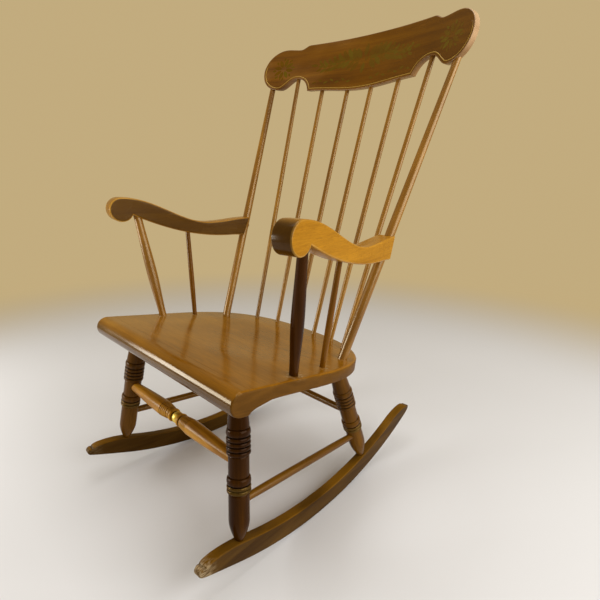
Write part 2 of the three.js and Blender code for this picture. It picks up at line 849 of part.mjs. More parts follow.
function addArm(hand, side, seatBores, crestBores) {
  const { foot, head } = postLine(side);
  const screw = addArmScrew(hand, side);
  const postProfile = [[postRadius, 0], [postRadius, postTaperShare], [postTopRadius, 1]];
  const postTenons = [backTenonLength, crestTenonLength];
  const post = addStick(
    `post_${hand}`,
    foot,
    head,
    postProfile,
    postTenons,
    stickSides,
    brownMaple,
    [screw.shank, screw.counterbore],
  );
  seatBores.push(post.foot);
  crestBores.push(post.head);

  const tenons = [backTenonLength, armTenonLength];
  const support = addStick(
    `arm_support_${hand}`,
    onSeat(side * (seatWidth / 2 - supportInset), supportSetback),
    underArm(supportTopReach, supportTopInset, side),
    swelling(supportFootRadius, supportSwellRadius, supportTopRadius, supportSwellShare),
    tenons,
    stickSides,
    brownMaple,
  );
  const spindle = addStick(
    `arm_spindle_${hand}`,
    onSeat(side * (seatWidth / 2 - armSpindleInset), armSpindleSetback),
    underArm(armSpindleTopReach, armSpindleTopInset, side),
    swelling(armSpindleRadius, armSpindleSwellRadius, armSpindleRadius, spindleSwellShare),
    tenons,
    stickSides,
    brownMaple,
  );
  seatBores.push(support.foot, spindle.foot);

  const cope = bore(foot, head, postRadius, foot.distanceTo(head));
  const cutters = [support.head, spindle.head, cope, screw.shank];
  const board = sidePrism(armOutline(), armWidth, armChamfer);
  addPiece(`arm_${hand}`, board, goldenMaple, armPlacement(side), cutters);
}

function addSpindles(seatBores, crestBores) {
  const profile = swelling(spindleRadius, spindleSwellRadius, spindleRadius, spindleSwellShare);
  const tenons = [backTenonLength, crestTenonLength];
  let number = 1;
  for (const [, side] of hands) {
    spindleFootShares.forEach((footShare, i) => {
      const foot = backFoot(footShare, spindleInset, side);
      const head = crestMouth(spindleTopShares[i], side);
      const bores = addStick(`spindle_${number}`, foot, head, profile, tenons, stickSides, brownMaple);
      seatBores.push(bores.foot);
      crestBores.push(bores.head);
      number += 1;
    });
  }
}

const seatBores = legSeatBores();
const crestBores = [];
addStretchers();
addLegs();
addRockers();
for (const [hand, side] of hands) {
  addArm(hand, side, seatBores, crestBores);
}
addSpindles(seatBores, crestBores);
addSeat(seatBores);
addCrestRail(crestBores);

const outline = new THREE.Box3().setFromObject(chair);
const middle = outline.getCenter(new THREE.Vector3());
chair.position.set(-middle.x, -middle.y, -outline.min.z);

export default chair;
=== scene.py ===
"""A Boston rocking chair in stained and varnished maple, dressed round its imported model.

Every length is in millimetres in the maker's frame, where y = 0 is the nose of the seat and
z = 0 the floor, the sitter faces -Y and +X is the sitter's left. Each piece is turned, sawn or
shaped there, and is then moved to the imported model's place and scaled to metres.
"""
import logging
import math
import random
from dataclasses import dataclass, replace
from enum import Enum
from functools import partial
from typing import Callable, Iterable, Sequence

import bpy
import numpy as np
from mathutils import Matrix, Vector
from mathutils.geometry import delaunay_2d_cdt


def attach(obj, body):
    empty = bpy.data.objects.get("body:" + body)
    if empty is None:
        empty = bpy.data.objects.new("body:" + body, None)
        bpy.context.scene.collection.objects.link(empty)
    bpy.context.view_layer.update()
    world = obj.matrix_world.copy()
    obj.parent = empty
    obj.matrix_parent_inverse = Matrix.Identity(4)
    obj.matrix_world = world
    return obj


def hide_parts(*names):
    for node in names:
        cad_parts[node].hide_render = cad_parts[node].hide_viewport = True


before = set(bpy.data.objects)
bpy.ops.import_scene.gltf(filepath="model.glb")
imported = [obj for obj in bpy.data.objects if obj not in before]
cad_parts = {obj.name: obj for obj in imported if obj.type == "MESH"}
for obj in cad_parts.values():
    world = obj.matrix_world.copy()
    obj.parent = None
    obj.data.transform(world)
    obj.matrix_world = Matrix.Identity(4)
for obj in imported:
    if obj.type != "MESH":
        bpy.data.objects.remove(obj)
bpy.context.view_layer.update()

log = logging.getLogger("rocking_chair")

METRES = 0.001
PACKED_ORIGIN = np.array([0.0, -310.822, -0.089])
SAME = 1e-6
MERGED = 1e-5
LEVEL = 1e-9
SHARP_DEGREES = 48.0
TREE_REACH = 900

Array = np.ndarray
Outline = Array
Place = Callable[[Array, Array], Array]
Band = tuple[float, float]
Triple = tuple[float, float, float]
Colour = Triple
Marks = dict[str, Array | float]
Marker = Callable[[Outline, float, float], Marks]
Socket = bpy.types.NodeSocket


class Hand(Enum):
    """The sitter's two sides."""

    LEFT = 1
    RIGHT = -1

    @property
    def word(self) -> str:
        """The hand's word in the names of pieces."""
        return self.name.lower()


class Mark(Enum):
    """What a point of a piece tells its finish."""

    # Dark stain in hollows, joints and end grain, and also painted shade
    HOLLOW = "hollow"
    GILT = "gilt"
    BARE = "bare"
    # Rubbed wear, and also painted light and highlights
    WORN = "worn"


def unit(vector: Array) -> Array:
    """Scales vectors to a length of one."""
    return vector / np.linalg.norm(vector, axis=-1, keepdims=True)


def length_between(start: Array, end: Array) -> float:
    """Measures how far apart two places are."""
    return float(np.linalg.norm(end - start))


def turn_about_x(degrees: float) -> Array:
    """Makes the matrix of a turn about +X, from +Y towards +Z."""
    c, s = math.cos(math.radians(degrees)), math.sin(math.radians(degrees))
    return np.array([[1, 0, 0], [0, c, -s], [0, s, c]])


def turn_about_z(radians: float) -> Array:
    """Makes the matrix of a turn about +Z, from +X towards +Y."""
    c, s = math.cos(radians), math.sin(radians)
    return np.array([[c, -s, 0], [s, c, 0], [0, 0, 1]])


def arc(centre: Sequence[float], radius: float, start: float, end: float, steps: int) -> Outline:
    """Draws a circular arc of so many steps round a centre, between two angles in degrees."""
    angles = np.radians(np.linspace(start, end, steps + 1))
    return np.stack([centre[0] + radius * np.cos(angles), centre[1] + radius * np.sin(angles)], 1)


def wave(start: Sequence[float], end: Sequence[float], steps: int) -> Outline:
    """Draws an S from one point to another, level at both.

    Args:
        start: the first point.
        end: the last point.
        steps: the number of its parts.

    Returns:
        Its points, one a row.
    """
    share = np.linspace(0, 1, steps + 1)
    across = start[0] + (end[0] - start[0]) * share
    up = start[1] + (end[1] - start[1]) * (1 - np.cos(np.pi * share)) / 2
    return np.stack([across, up], 1)


def bend(start: Sequence[float], corner: Sequence[float], end: Sequence[float], steps: int) -> Outline:
    """Draws a bend that leaves two points towards their shared corner.

    Args:
        start: the first point.
        corner: where the two end tangents meet.
        end: the last point.
        steps: the number of its parts.

    Returns:
        Its points, one a row.
    """
    share = np.linspace(0, 1, steps + 1)[:, None]
    first, middle, last = (np.asarray(point, float) for point in (start, corner, end))
    return (1 - share) ** 2 * first + 2 * share * (1 - share) * middle + share**2 * last


def joined(*runs: Outline | Band) -> Outline:
    """Joins runs of points and single points, and drops each that repeats the one before it.

    Args:
        *runs: the runs and points, in order.

    Returns:
        All the points, one a row.
    """
    points = np.concatenate([np.atleast_2d(run) for run in runs])
    step = np.linalg.norm(points - np.roll(points, 1, 0), axis=1)
    return points[step > SAME]


def inset(outline: Outline, distance: float, least_spread: float = 0.45) -> Outline:
    """Moves a closed outline inwards.

    Args:
        outline: its points, counterclockwise.
        distance: how far each side moves.
        least_spread: keeps a sharp corner from running away.

    Returns:
        The moved points.
    """
    into = unit(outline - np.roll(outline, 1, 0))
    out = unit(np.roll(outline, -1, 0) - outline)
    normal_in = np.stack([-into[:, 1], into[:, 0]], 1)
    normal_out = np.stack([-out[:, 1], out[:, 0]], 1)
    middle = unit(normal_in + normal_out)
    spread = np.maximum(np.sum(middle * normal_in, 1, keepdims=True), least_spread)
    return outline + middle / spread * distance


def fall(distance: Array, radius: float) -> Array:
    """Says how far an edge rounded to a radius has dropped at a distance in from it."""
    inward = np.clip(radius - distance, 0, radius)
    return radius - np.sqrt(radius**2 - inward**2)


def rising(value: Array, start: float, length: float) -> Array:
    """Rises from 0 at a start to 1 a length further on, and stays level before and after."""
    return np.clip((value - start) / length, 0, 1)


@dataclass(frozen=True)
class Texture:
    """A cloudy texture in the wood or the metal, with its layers from coarse to fine."""

    fineness: Triple
    layers: float
    layer_strength: float
    stir: float = 0.0


GROWTH_BANDS = Texture((2.2, 42, 42), 3, 0.5, stir=0.9)
FIBRES = Texture((26, 620, 620), 4, 0.6)
CLOUDS = Texture((7, 13, 13), 2, 0.5)
PORES = Texture((90, 1500, 1500), 2, 0.5)
SCRAPES = Texture((75, 320, 320), 4, 0.7)
LEAF_CRUMBS = Texture((240, 240, 240), 3, 0.6)
FURROWS = Texture((5, 420, 420), 1, 0.4)
LATHE_MARKS = Texture((900, 900, 900), 3, 0.6)
RUST_SPOTS = Texture((160, 160, 160), 4, 0.65)


@dataclass(frozen=True)
class Gilding:
    """Bronze powder or gold paint on a stained ground."""

    colour: Colour = (0.62, 0.40, 0.07)
    faded: Colour = (0.20, 0.15, 0.025)
    metal: float = 0.75


@dataclass(frozen=True)
class Finish:
    """What a piece is made of and how its surface looks."""

    name: str

    def material(self) -> bpy.types.Material:
        """Makes the finish, or finds it where it was made before."""
        made = bpy.data.materials.get(self.name)
        return made or self._mix()

    def _mix(self) -> bpy.types.Material:
        """Lays the finish on a new material."""
        raise NotImplementedError


@dataclass(frozen=True)
class StainedMaple(Finish):
    """Maple under a stain and a glossy varnish, rubbed where hands and feet reach it, with light and
    shade painted on some pieces.
    """

    slot: str
    light: Colour
    middle: Colour
    dark: Colour
    # The colour of dark stain and of painted shade
    hollow: Colour
    # The colour of rubbed wear and of painted light
    worn: Colour
    figure: float = 1.0
    flecks: float = 0.35
    fleck_start: float = 0.60
    roughness: float = 0.30
    gloss: float = 0.17
    sheen_tint: Colour = (1.0, 0.86, 0.58)
    varnish: float = 0.08
    relief: float = 0.10
    gilding: Gilding = Gilding()
    growth_share: float = 0.62
    cloud_share: float = 0.38
    furrow_share: float = 0.5
    fibre_span: Band = (0.3, 0.7)
    cloud_span: Band = (0.3, 0.7)
    rub_span: Band = (0.38, 0.62)
    scrape_span: Band = (0.44, 0.60)
    crumb_span: Band = (0.62, 0.98)
    leaf_span: Band = (0.55, 1.0)
    band_reach: float = 0.16
    fibre_shades: Band = (0.80, 1.12)
    fleck_softness: float = 0.12
    hollow_strength: float = 0.88
    least_rub: float = 0.25
    bare_wood: Colour = (0.40, 0.30, 0.17)
    bare_roughness: float = 0.32
    bare_depth: float = 0.8
    leaf_hold: float = 0.75
    gloss_spread: Band = (-0.05, 0.07)
    relief_height: float = 0.0003
    varnish_roughness: float = 0.15
    varnish_density: float = 1.48
    varnish_tint: Colour = (1.0, 0.93, 0.80)

    def _mix(self) -> bpy.types.Material:
        """Lays the stain, the figure, the wear, the painted light and shade, the gilding and the
        varnish.
        """
        bench = Bench(self.name)
        grain = bench.mark("grain", "Vector")
        growth = bench.noise(grain, GROWTH_BANDS)
        cloud = bench.noise(grain, CLOUDS)
        stain = self._worn(bench, self._stained(bench, grain, growth, cloud), cloud)
        scrapes = bench.span(bench.noise(grain, SCRAPES), self.scrape_span)
        stripped = bench.product(bench.mark(Mark.BARE.value), scrapes)
        stain = bench.mix(stripped, stain, self.bare_wood)
        gilt = self._gilt(bench, grain)
        leaf = bench.mix(bench.span(gilt, self.leaf_span), self.gilding.faded, self.gilding.colour)
        gloss = bench.span(cloud, self.cloud_span, [self.roughness + more for more in self.gloss_spread])
        bench.feed({
            "Base Color": bench.mix(gilt, stain, leaf),
            "Roughness": bench.sum(gloss, bench.product(stripped, self.bare_roughness)),
            "Metallic": bench.product(gilt, self.gilding.metal),
            "Specular IOR Level": self.gloss,
            "Specular Tint": self.sheen_tint,
            "Coat Weight": self.varnish,
            "Coat Roughness": self.varnish_roughness,
            "Coat IOR": self.varnish_density,
            "Coat Tint": self.varnish_tint,
        })
        furrows = bench.product(bench.noise(grain, FURROWS), self.furrow_share)
        relief = bench.sum(furrows, bench.product(growth, 1 - self.furrow_share))
        relief = bench.sum(relief, bench.product(stripped, -self.bare_depth))
        bench.bump(relief, self.relief, self.relief_height)
        return bench.material

    def _stained(self, bench: "Bench", grain: Socket, growth: Socket, cloud: Socket) -> Socket:
        """Stains the wood, darker in its bands, fibres and pores.

        Args:
            bench: where the nodes are laid.
            grain: the coordinates along the grain.
            growth: the bands of growth.
            cloud: the slow change of tone.

        Returns:
            The colour.
        """
        growth, cloud = bench.product(growth, self.growth_share), bench.product(cloud, self.cloud_share)
        reach = self.band_reach / self.figure
        stops = [(0.5 - reach, self.dark), (0.5, self.middle), (0.5 + reach, self.light)]
        stain = bench.ramp(bench.sum(growth, cloud), stops)
        fibres = bench.span(bench.noise(grain, FIBRES), self.fibre_span, self.fibre_shades)
        stain = bench.tint(stain, fibres)
        deep = (self.fleck_start, self.fleck_start + self.fleck_softness)
        pores = bench.span(bench.noise(grain, PORES), deep, (0.0, self.flecks))
        return bench.mix(pores, stain, self.dark)

    def _worn(self, bench: "Bench", stain: Socket, cloud: Socket) -> Socket:
        """Darkens the hollows and end grain and lays painted shade, and lightens the rubbed arrises and
        lays painted light and highlights.

        Args:
            bench: where the nodes are laid.
            stain: the stained wood's colour.
            cloud: the slow change of tone, which makes the rubbing patchy.

        Returns:
            The colour.
        """
        # Dark stain, and painted shade where pieces mark it
        hollow = bench.mark(Mark.HOLLOW.value)
        stain = bench.mix(bench.product(hollow, self.hollow_strength), stain, self.hollow)
        patchy = bench.span(cloud, self.rub_span, (self.least_rub, 1.0))
        # Rubbed wear, and painted light and highlights where pieces mark it
        rub = bench.product(bench.mark(Mark.WORN.value), patchy)
        return bench.mix(rub, stain, self.worn)

    def _gilt(self, bench: "Bench", grain: Socket) -> Socket:
        """Says how much of the leaf or bronze is left, with crumbs gone from it.

        Args:
            bench: where the nodes are laid.
            grain: the coordinates along the grain.

        Returns:
            The share that is left.
        """
        gilt = bench.mark(Mark.GILT.value)
        crumbs = bench.noise(grain, LEAF_CRUMBS)
        held = bench.sum(crumbs, bench.product(gilt, self.leaf_hold))
        return bench.product(gilt, bench.span(held, self.crumb_span))


@dataclass(frozen=True)
class ScrewSteel(Finish):
    """Plain drawn steel with fine turning marks and a little rust."""

    name: str = "plain_steel"
    bright: Colour = (0.50, 0.51, 0.52)
    dull: Colour = (0.30, 0.28, 0.26)
    rust: Colour = (0.22, 0.09, 0.04)
    dull_span: Band = (0.35, 0.65)
    rust_span: Band = (0.58, 0.70)
    most_rust: float = 0.8
    mark_span: Band = (0.3, 0.7)
    metal_span: Band = (0.95, 0.2)
    roughness_span: Band = (0.28, 0.45)
    mark_strength: float = 0.1
    mark_height: float = 0.0002

    def _mix(self) -> bpy.types.Material:
        """Lays the marks of the lathe and the rust."""
        bench = Bench(self.name)
        place = bench.node("ShaderNodeTexCoord").outputs["Object"]
        marks = bench.noise(place, LATHE_MARKS)
        metal = bench.mix(bench.span(marks, self.dull_span), self.bright, self.dull)
        rusty = bench.span(bench.noise(place, RUST_SPOTS), self.rust_span, (0.0, self.most_rust))
        bench.feed({
            "Base Color": bench.mix(rusty, metal, self.rust),
            "Metallic": bench.span(rusty, (0.0, self.most_rust), self.metal_span),
            "Roughness": bench.span(marks, self.mark_span, self.roughness_span),
        })
        bench.bump(marks, self.mark_strength, self.mark_height)
        return bench.material


class Bench:
    """Lays out the nodes of one material."""

    MIX_SHARE, MIX_GROUND, MIX_LAYER, MIX_RESULT = 0, 6, 7, 2

    def __init__(self, name: str) -> None:
        """Starts a material of that name with one surface and nothing on it.

        Args:
            name: the material's name.
        """
        self.material = bpy.data.materials.new(name)
        self.material.use_nodes = True
        self.tree = self.material.node_tree
        self.surface = self.tree.nodes["Principled BSDF"]

    def node(self, kind: str, **settings: object) -> bpy.types.Node:
        """Adds a node.

        Args:
            kind: its type.
            **settings: its properties.

        Returns:
            The node.
        """
        made = self.tree.nodes.new(kind)
        for setting, value in settings.items():
            setattr(made, setting, value)
        return made

    def join(self, source: object, socket: Socket) -> None:
        """Feeds a socket from another socket, a number or a colour.

        Args:
            source: what feeds it.
            socket: the socket that is fed.
        """
        if isinstance(source, Socket):
            self.tree.links.new(source, socket)
        elif isinstance(source, tuple) and len(source) == 3 and socket.type == "RGBA":
            socket.default_value = (*source, 1.0)
        else:
            socket.default_value = source

    def feed(self, sources: dict[str, object]) -> None:
        """Feeds some of the surface's sockets, listed by name."""
        for name, source in sources.items():
            self.join(source, self.surface.inputs[name])

    def mark(self, name: str, output: str = "Fac") -> Socket:
        """Reads what the points of a piece say under a name, from one of the reader's sockets."""
        return self.node("ShaderNodeAttribute", attribute_name=name).outputs[output]

    def noise(self, place: Socket, texture: Texture) -> Socket:
        """Adds a cloudy texture, which runs along the grain where the place does.

        Args:
            place: its coordinates.
            texture: how fine, layered and stirred it is.

        Returns:
            Its value.
        """
        stretch = self.node("ShaderNodeVectorMath", operation="MULTIPLY")
        self.join(place, stretch.inputs[0])
        stretch.inputs[1].default_value = texture.fineness
        made = self.node("ShaderNodeTexNoise")
        self.join(stretch.outputs[0], made.inputs["Vector"])
        made.inputs["Scale"].default_value = 1.0
        made.inputs["Detail"].default_value = texture.layers
        made.inputs["Roughness"].default_value = texture.layer_strength
        made.inputs["Distortion"].default_value = texture.stir
        return made.outputs["Fac"]

    def ramp(self, value: Socket, stops: Sequence[tuple[float, Colour]]) -> Socket:
        """Turns a value into a colour.

        Args:
            value: the value.
            stops: the colour at each of some values.

        Returns:
            The colour.
        """
        made = self.node("ShaderNodeValToRGB")
        stop_list = made.color_ramp.elements
        while len(stop_list) < len(stops):
            stop_list.new(0.5)
        for stop, (position, colour) in zip(stop_list, stops):
            stop.position = position
            stop.color = (*colour, 1.0)
        self.join(value, made.inputs["Fac"])
        return made.outputs["Color"]

    def mix(self, share: object, ground: object, layer: object) -> Socket:
        """Lays one colour over another.

        Args:
            share: how much of the upper one shows.
            ground: the lower colour.
            layer: the upper colour.

        Returns:
            The mixed colour.
        """
        made = self.node("ShaderNodeMix", data_type="RGBA")
        self.join(share, made.inputs[self.MIX_SHARE])
        self.join(ground, made.inputs[self.MIX_GROUND])
        self.join(layer, made.inputs[self.MIX_LAYER])
        return made.outputs[self.MIX_RESULT]

    def tint(self, colour: object, value: Socket) -> Socket:
        """Multiplies a colour by a value.

        Args:
            colour: the colour.
            value: the value.

        Returns:
            The tinted colour.
        """
        made = self.node("ShaderNodeVectorMath", operation="SCALE")
        self.join(colour, made.inputs[0])
        self.join(value, made.inputs["Scale"])
        return made.outputs[0]

    def _reckoned(self, operation: str, first: object, second: object) -> Socket:
        """Adds a node that works out one value from two.

        Args:
            operation: what it does.
            first: the first value.
            second: the second value.

        Returns:
            Its result.
        """
        made = self.node("ShaderNodeMath", operation=operation)
        self.join(first, made.inputs[0])
        self.join(second, made.inputs[1])
        return made.outputs[0]

    def sum(self, first: object, second: object) -> Socket:
        """Adds two values."""
        return self._reckoned("ADD", first, second)

    def product(self, first: object, second: object) -> Socket:
        """Multiplies two values."""
        return self._reckoned("MULTIPLY", first, second)

    def span(
        self, value: Socket, ends: Sequence[float], become: Sequence[float] = (0.0, 1.0)
    ) -> Socket:
        """Moves a value from one range to another and holds it there.

        Args:
            value: the value.
            ends: the ends of its range.
            become: what the two ends become.

        Returns:
            The moved value.
        """
        made = self.node("ShaderNodeMapRange", clamp=True)
        self.join(value, made.inputs["Value"])
        for socket, number in zip(("From Min", "From Max", "To Min", "To Max"), (*ends, *become)):
            made.inputs[socket].default_value = number
        return made.outputs[0]

    def bump(self, height: Socket, strength: float, distance: float) -> None:
        """Raises the surface a little.

        Args:
            height: the relief.
            strength: how much of it counts.
            distance: how high it is, in metres.
        """
        made = self.node("ShaderNodeBump")
        self.join(height, made.inputs["Height"])
        made.inputs["Strength"].default_value = strength
        made.inputs["Distance"].default_value = distance
        self.join(made.outputs[0], self.surface.inputs["Normal"])


class Stock:
    """One piece while it is shaped: its points, what they tell its finish, and its faces."""

    def __init__(self, name: str) -> None:
        """Starts with nothing.

        Args:
            name: the name of the piece, which also seeds its own place in the tree.
        """
        self.name = name
        self.points: list[Array] = []
        self.grain: list[Array] = []
        self.marks: dict[Mark, list[Array]] = {mark: [] for mark in Mark}
        self.faces: list[tuple[int, ...]] = []
        self.count = 0
        draw = random.Random(name)
        self.tree_place = np.array([draw.uniform(-TREE_REACH, TREE_REACH) for _ in range(3)])

    def add(self, points: Array, grain: Array, **marks: Array | float) -> int:
        """Adds points.

        Args:
            points: their places, one a row.
            grain: the same points in the blank, with the grain along its first coordinate.
            **marks: what they tell the finish, by the mark's word.

        Returns:
            The number of the first.
        """
        first = self.count
        self.points.append(np.asarray(points, float).reshape(-1, 3))
        self.grain.append(np.asarray(grain, float).reshape(-1, 3))
        added = len(self.points[-1])
        for mark in Mark:
            value = np.broadcast_to(np.asarray(marks.get(mark.value, 0.0), float).ravel(), (added,))
            self.marks[mark].append(value)
        self.count += added
        return first

    def web(self, first: int, rows: int, columns: int, closed: bool = True) -> None:
        """Spans faces over a lattice of points.

        Args:
            first: the number of its first point.
            rows: how many rows it has.
            columns: how many points a row has.
            closed: whether the last point of a row meets the first.
        """
        last = columns if closed else columns - 1
        for row in range(rows - 1):
            for column in range(last):
                here = first + row * columns
                above = here + columns
                following = (column + 1) % columns
                self.faces.append((here + column, here + following, above + following, above + column))

    def close(self, first: int, columns: int, backwards: bool = False) -> None:
        """Spans one face over a ring of points, which it may follow backwards."""
        ring = tuple(range(first, first + columns))
        self.faces.append(ring[::-1] if backwards else ring)

    def _face_outwards(self) -> None:
        """Turns every face round where the closed stock's faces look inwards."""
        places = np.concatenate(self.points)
        volume = 0.0
        for face in self.faces:
            corners = places[list(face)]
            volume += float(np.sum(np.cross(corners[1:-1], corners[2:]) @ corners[0]))
        if volume < 0:
            self.faces = [face[::-1] for face in self.faces]

    def object(self, finish: StainedMaple, stands_for: Sequence[str] = ()) -> bpy.types.Object:
        """Turns the stock into a piece of the chair.

        Args:
            finish: its finish.
            stands_for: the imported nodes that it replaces.

        Returns:
            The piece.
        """
        self._face_outwards()
        mesh = bpy.data.meshes.new(self.name)
        places = (np.concatenate(self.points) + PACKED_ORIGIN) * METRES
        mesh.from_pydata(places.tolist(), [], self.faces)
        grain = mesh.attributes.new("grain", "FLOAT_VECTOR", "POINT")
        in_tree = (np.concatenate(self.grain) + self.tree_place) * METRES
        grain.data.foreach_set("vector", in_tree.ravel())
        for mark, values in self.marks.items():
            told = mesh.attributes.new(mark.value, "FLOAT", "POINT")
            told.data.foreach_set("value", np.concatenate(values))
        mesh.polygons.foreach_set("use_smooth", [True] * len(mesh.polygons))
        mesh.validate()
        mesh.update()
        mesh.set_sharp_from_angle(angle=math.radians(SHARP_DEGREES))
        mesh.materials.append(finish.material())
        piece = bpy.data.objects.new(self.name, mesh)
        bpy.context.scene.collection.objects.link(piece)
        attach(piece, "root")
        if stands_for:
            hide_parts(*stands_for)
        log.info("%s: %d points, %d faces", self.name, self.count, len(self.faces))
        return piece


@dataclass(frozen=True)
class Turning:
    """A stick turned on the lathe between two places, listed as [height, radius]."""

    name: str
    foot: Array
    head: Array
    profile: Array
    gilt: Sequence[Band] = ()
    gilt_strength: float = 1.0
    around: int = 40
    aside: Triple = (0.0, 1.0, 0.3)
    neighbour_reach: float = 5.5
    full_hollow: float = 1.5

    def _hollows(self) -> Array:
        """Finds how deep each ring lies between its neighbours, from 0 to 1."""
        heights, radii = self.profile.T
        near = np.abs(heights[:, None] - heights[None, :]) < self.neighbour_reach
        below = np.where(near & (heights[None, :] <= heights[:, None]), radii[None, :], 0).max(1)
        above = np.where(near & (heights[None, :] >= heights[:, None]), radii[None, :], 0).max(1)
        return np.clip((np.minimum(below, above) - radii) / self.full_hollow, 0, 1)

    def _gilded(self) -> Array:
        """Says how strongly each ring is gilt."""
        heights = self.profile[:, 0]
        found = np.zeros(len(heights))
        for low, high in self.gilt:
            found[(heights >= low - SAME) & (heights <= high + SAME)] = self.gilt_strength
        return found

    def stock(self) -> Stock:
        """Turns the stick.

        Returns:
            The shaped stock, closed at both ends.
        """
        axis = unit(self.head - self.foot)
        side = unit(np.cross(axis, self.aside))
        other = np.cross(axis, side)
        angles = np.linspace(0, 2 * np.pi, self.around, endpoint=False)
        ring = np.cos(angles)[:, None] * side + np.sin(angles)[:, None] * other
        heights, radii = self.profile.T
        places = self.foot + heights[:, None, None] * axis + radii[:, None, None] * ring
        flat = np.stack([np.cos(angles), np.sin(angles)], 1)
        inside = np.empty((len(heights), self.around, 3))
        inside[..., 0] = heights[:, None]
        inside[..., 1:] = radii[:, None, None] * flat
        made = Stock(self.name)
        spread = np.ones(self.around)
        first = made.add(
            places.reshape(-1, 3),
            inside.reshape(-1, 3),
            hollow=np.outer(self._hollows(), spread),
            gilt=np.outer(self._gilded(), spread),
        )
        made.web(first, len(heights), self.around)
        made.close(first, self.around, backwards=True)
        made.close(first + (len(heights) - 1) * self.around, self.around)
        return made

    def turn(self, finish: StainedMaple, node: str) -> None:
        """Turns the stick and finishes it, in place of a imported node."""
        self.stock().object(finish, [node])


@dataclass(frozen=True)
class Stick:
    """The shape of a plain stick that swells between its ends."""

    foot_radius: float
    swell_radius: float
    head_radius: float
    swell_share: float
    around: int = 40
    tuck: float = 9.0

    def turning(self, name: str, foot: Array, head: Array) -> Turning:
        """Sets the stick between two places and runs it on into what holds it there.

        Args:
            name: the piece's name.
            foot: where it leaves what holds it below.
            head: where it enters what holds it above.

        Returns:
            The turning.
        """
        length = length_between(foot, head)
        widest = (self.swell_share * length, self.swell_radius)
        profile = joined(
            (-self.tuck, self.foot_radius),
            wave((0, self.foot_radius), widest, 20),
            wave(widest, (length, self.head_radius), 24),
            (length + self.tuck, self.head_radius),
        )
        return Turning(name, foot, head, profile, around=self.around)


@dataclass(frozen=True)
class Plank:
    """A sawn board with rounded edges: an outline and a thickness, put in place by a function."""

    name: str
    outline: Outline
    thickness: float
    rounding: float
    place: Place
    support: float = 1.4
    round_steps: int = 5
    fill_spacing: float | None = None
    lines: Sequence[Band] = ()
    line_share: Callable[[Outline], Array] | None = None
    grid_gap_share: float = 0.45

    def _edge(self) -> list[Band]:
        """Lists the rings of one face from the wall inwards, as [inset, drop below the face]."""
        angles = np.linspace(0, np.pi / 2, self.round_steps + 1)
        rings = [(self.rounding * (1 - math.cos(a)), self.rounding * (1 - math.sin(a))) for a in angles]
        rings += [(self.rounding + self.support, 0.0)]
        return rings + list(self.lines)

    def stock(self, marks: Marker) -> Stock:
        """Saws the board and rounds its edges.

        Args:
            marks: tells the finish what it needs, from the outline's points, the inset of a
                ring and its height in the thickness.

        Returns:
            The shaped stock.
        """
        half = self.thickness / 2
        edge = self._edge()
        levels = [(depth, half - drop) for depth, drop in reversed(edge)]
        levels += [(depth, drop - half) for depth, drop in edge]
        made = Stock(self.name)
        count = len(self.outline)
        share = self.line_share(self.outline) if self.line_share else np.ones(count)
        lined = {depth for depth, _ in self.lines}
        for depth, level in levels:
            ring = inset(self.outline, depth)
            face = math.copysign(half, level)
            heights = face + (level - face) * share if depth in lined else np.full(count, level)
            flat = np.column_stack([ring, heights])
            last = made.add(self.place(ring, heights), flat, **marks(self.outline, depth, level))
        made.web(0, len(levels), count)
        self._face(made, 0, levels[0][1], edge[-1][0], marks)
        self._face(made, last, levels[-1][1], edge[-1][0], marks)
        return made

    def _face(self, made: Stock, first: int, level: float, depth: float, marks: Marker) -> None:
        """Closes a face inside its innermost ring.

        Args:
            made: the stock.
            first: the number of the ring's first point.
            level: the face's height in the thickness, below zero for the far face.
            depth: the ring's inset.
            marks: tells the finish what it needs.
        """
        back = level < 0
        count = len(self.outline)
        if self.fill_spacing is None:
            made.close(first, count, backwards=not back)
            return
        ring = inset(self.outline, depth)
        inner = self._grid(ring)
        places = [Vector(point) for point in np.concatenate([ring, inner])]
        loop = [list(range(count))]
        corners, _, triangles, origins, _, _ = delaunay_2d_cdt(places, [], loop, 1, MERGED)
        grid = np.array([list(point) for point in corners])
        flat = np.column_stack([grid, np.full(len(grid), level)])
        start = made.add(self.place(grid, flat[:, 2]), flat, **marks(grid, depth, level))
        number = {}
        for index, came_from in enumerate(origins):
            rim = [source for source in came_from if source < count]
            number[index] = first + rim[0] if rim else start + index
        for triangle in triangles:
            corner = [number[index] for index in triangle]
            made.faces.append(tuple(corner) if back else tuple(reversed(corner)))

    def _grid(self, ring: Outline) -> Array:
        """Lays a grid of points inside a ring, clear of its edge.

        Args:
            ring: the closed ring.

        Returns:
            The points.
        """
        low, high = ring.min(0), ring.max(0)
        across = np.arange(low[0], high[0], self.fill_spacing)
        up = np.arange(low[1], high[1], self.fill_spacing)
        grid = np.stack(np.meshgrid(across, up), -1).reshape(-1, 2)
        start, end = ring, np.roll(ring, -1, 0)
        crosses = (start[None, :, 1] > grid[:, None, 1]) != (end[None, :, 1] > grid[:, None, 1])
        rise = end[:, 1] - start[:, 1]
        rise = np.where(np.abs(rise) < LEVEL, LEVEL, rise)
        at = start[:, 0] + (grid[:, None, 1] - start[:, 1]) / rise * (end[:, 0] - start[:, 0])
        within = (crosses & (grid[:, None, 0] < at)).sum(1) % 2 == 1
        gap = np.linalg.norm(grid[:, None] - ring[None], axis=2).min(1)
        return grid[within & (gap > self.fill_spacing * self.grid_gap_share)]
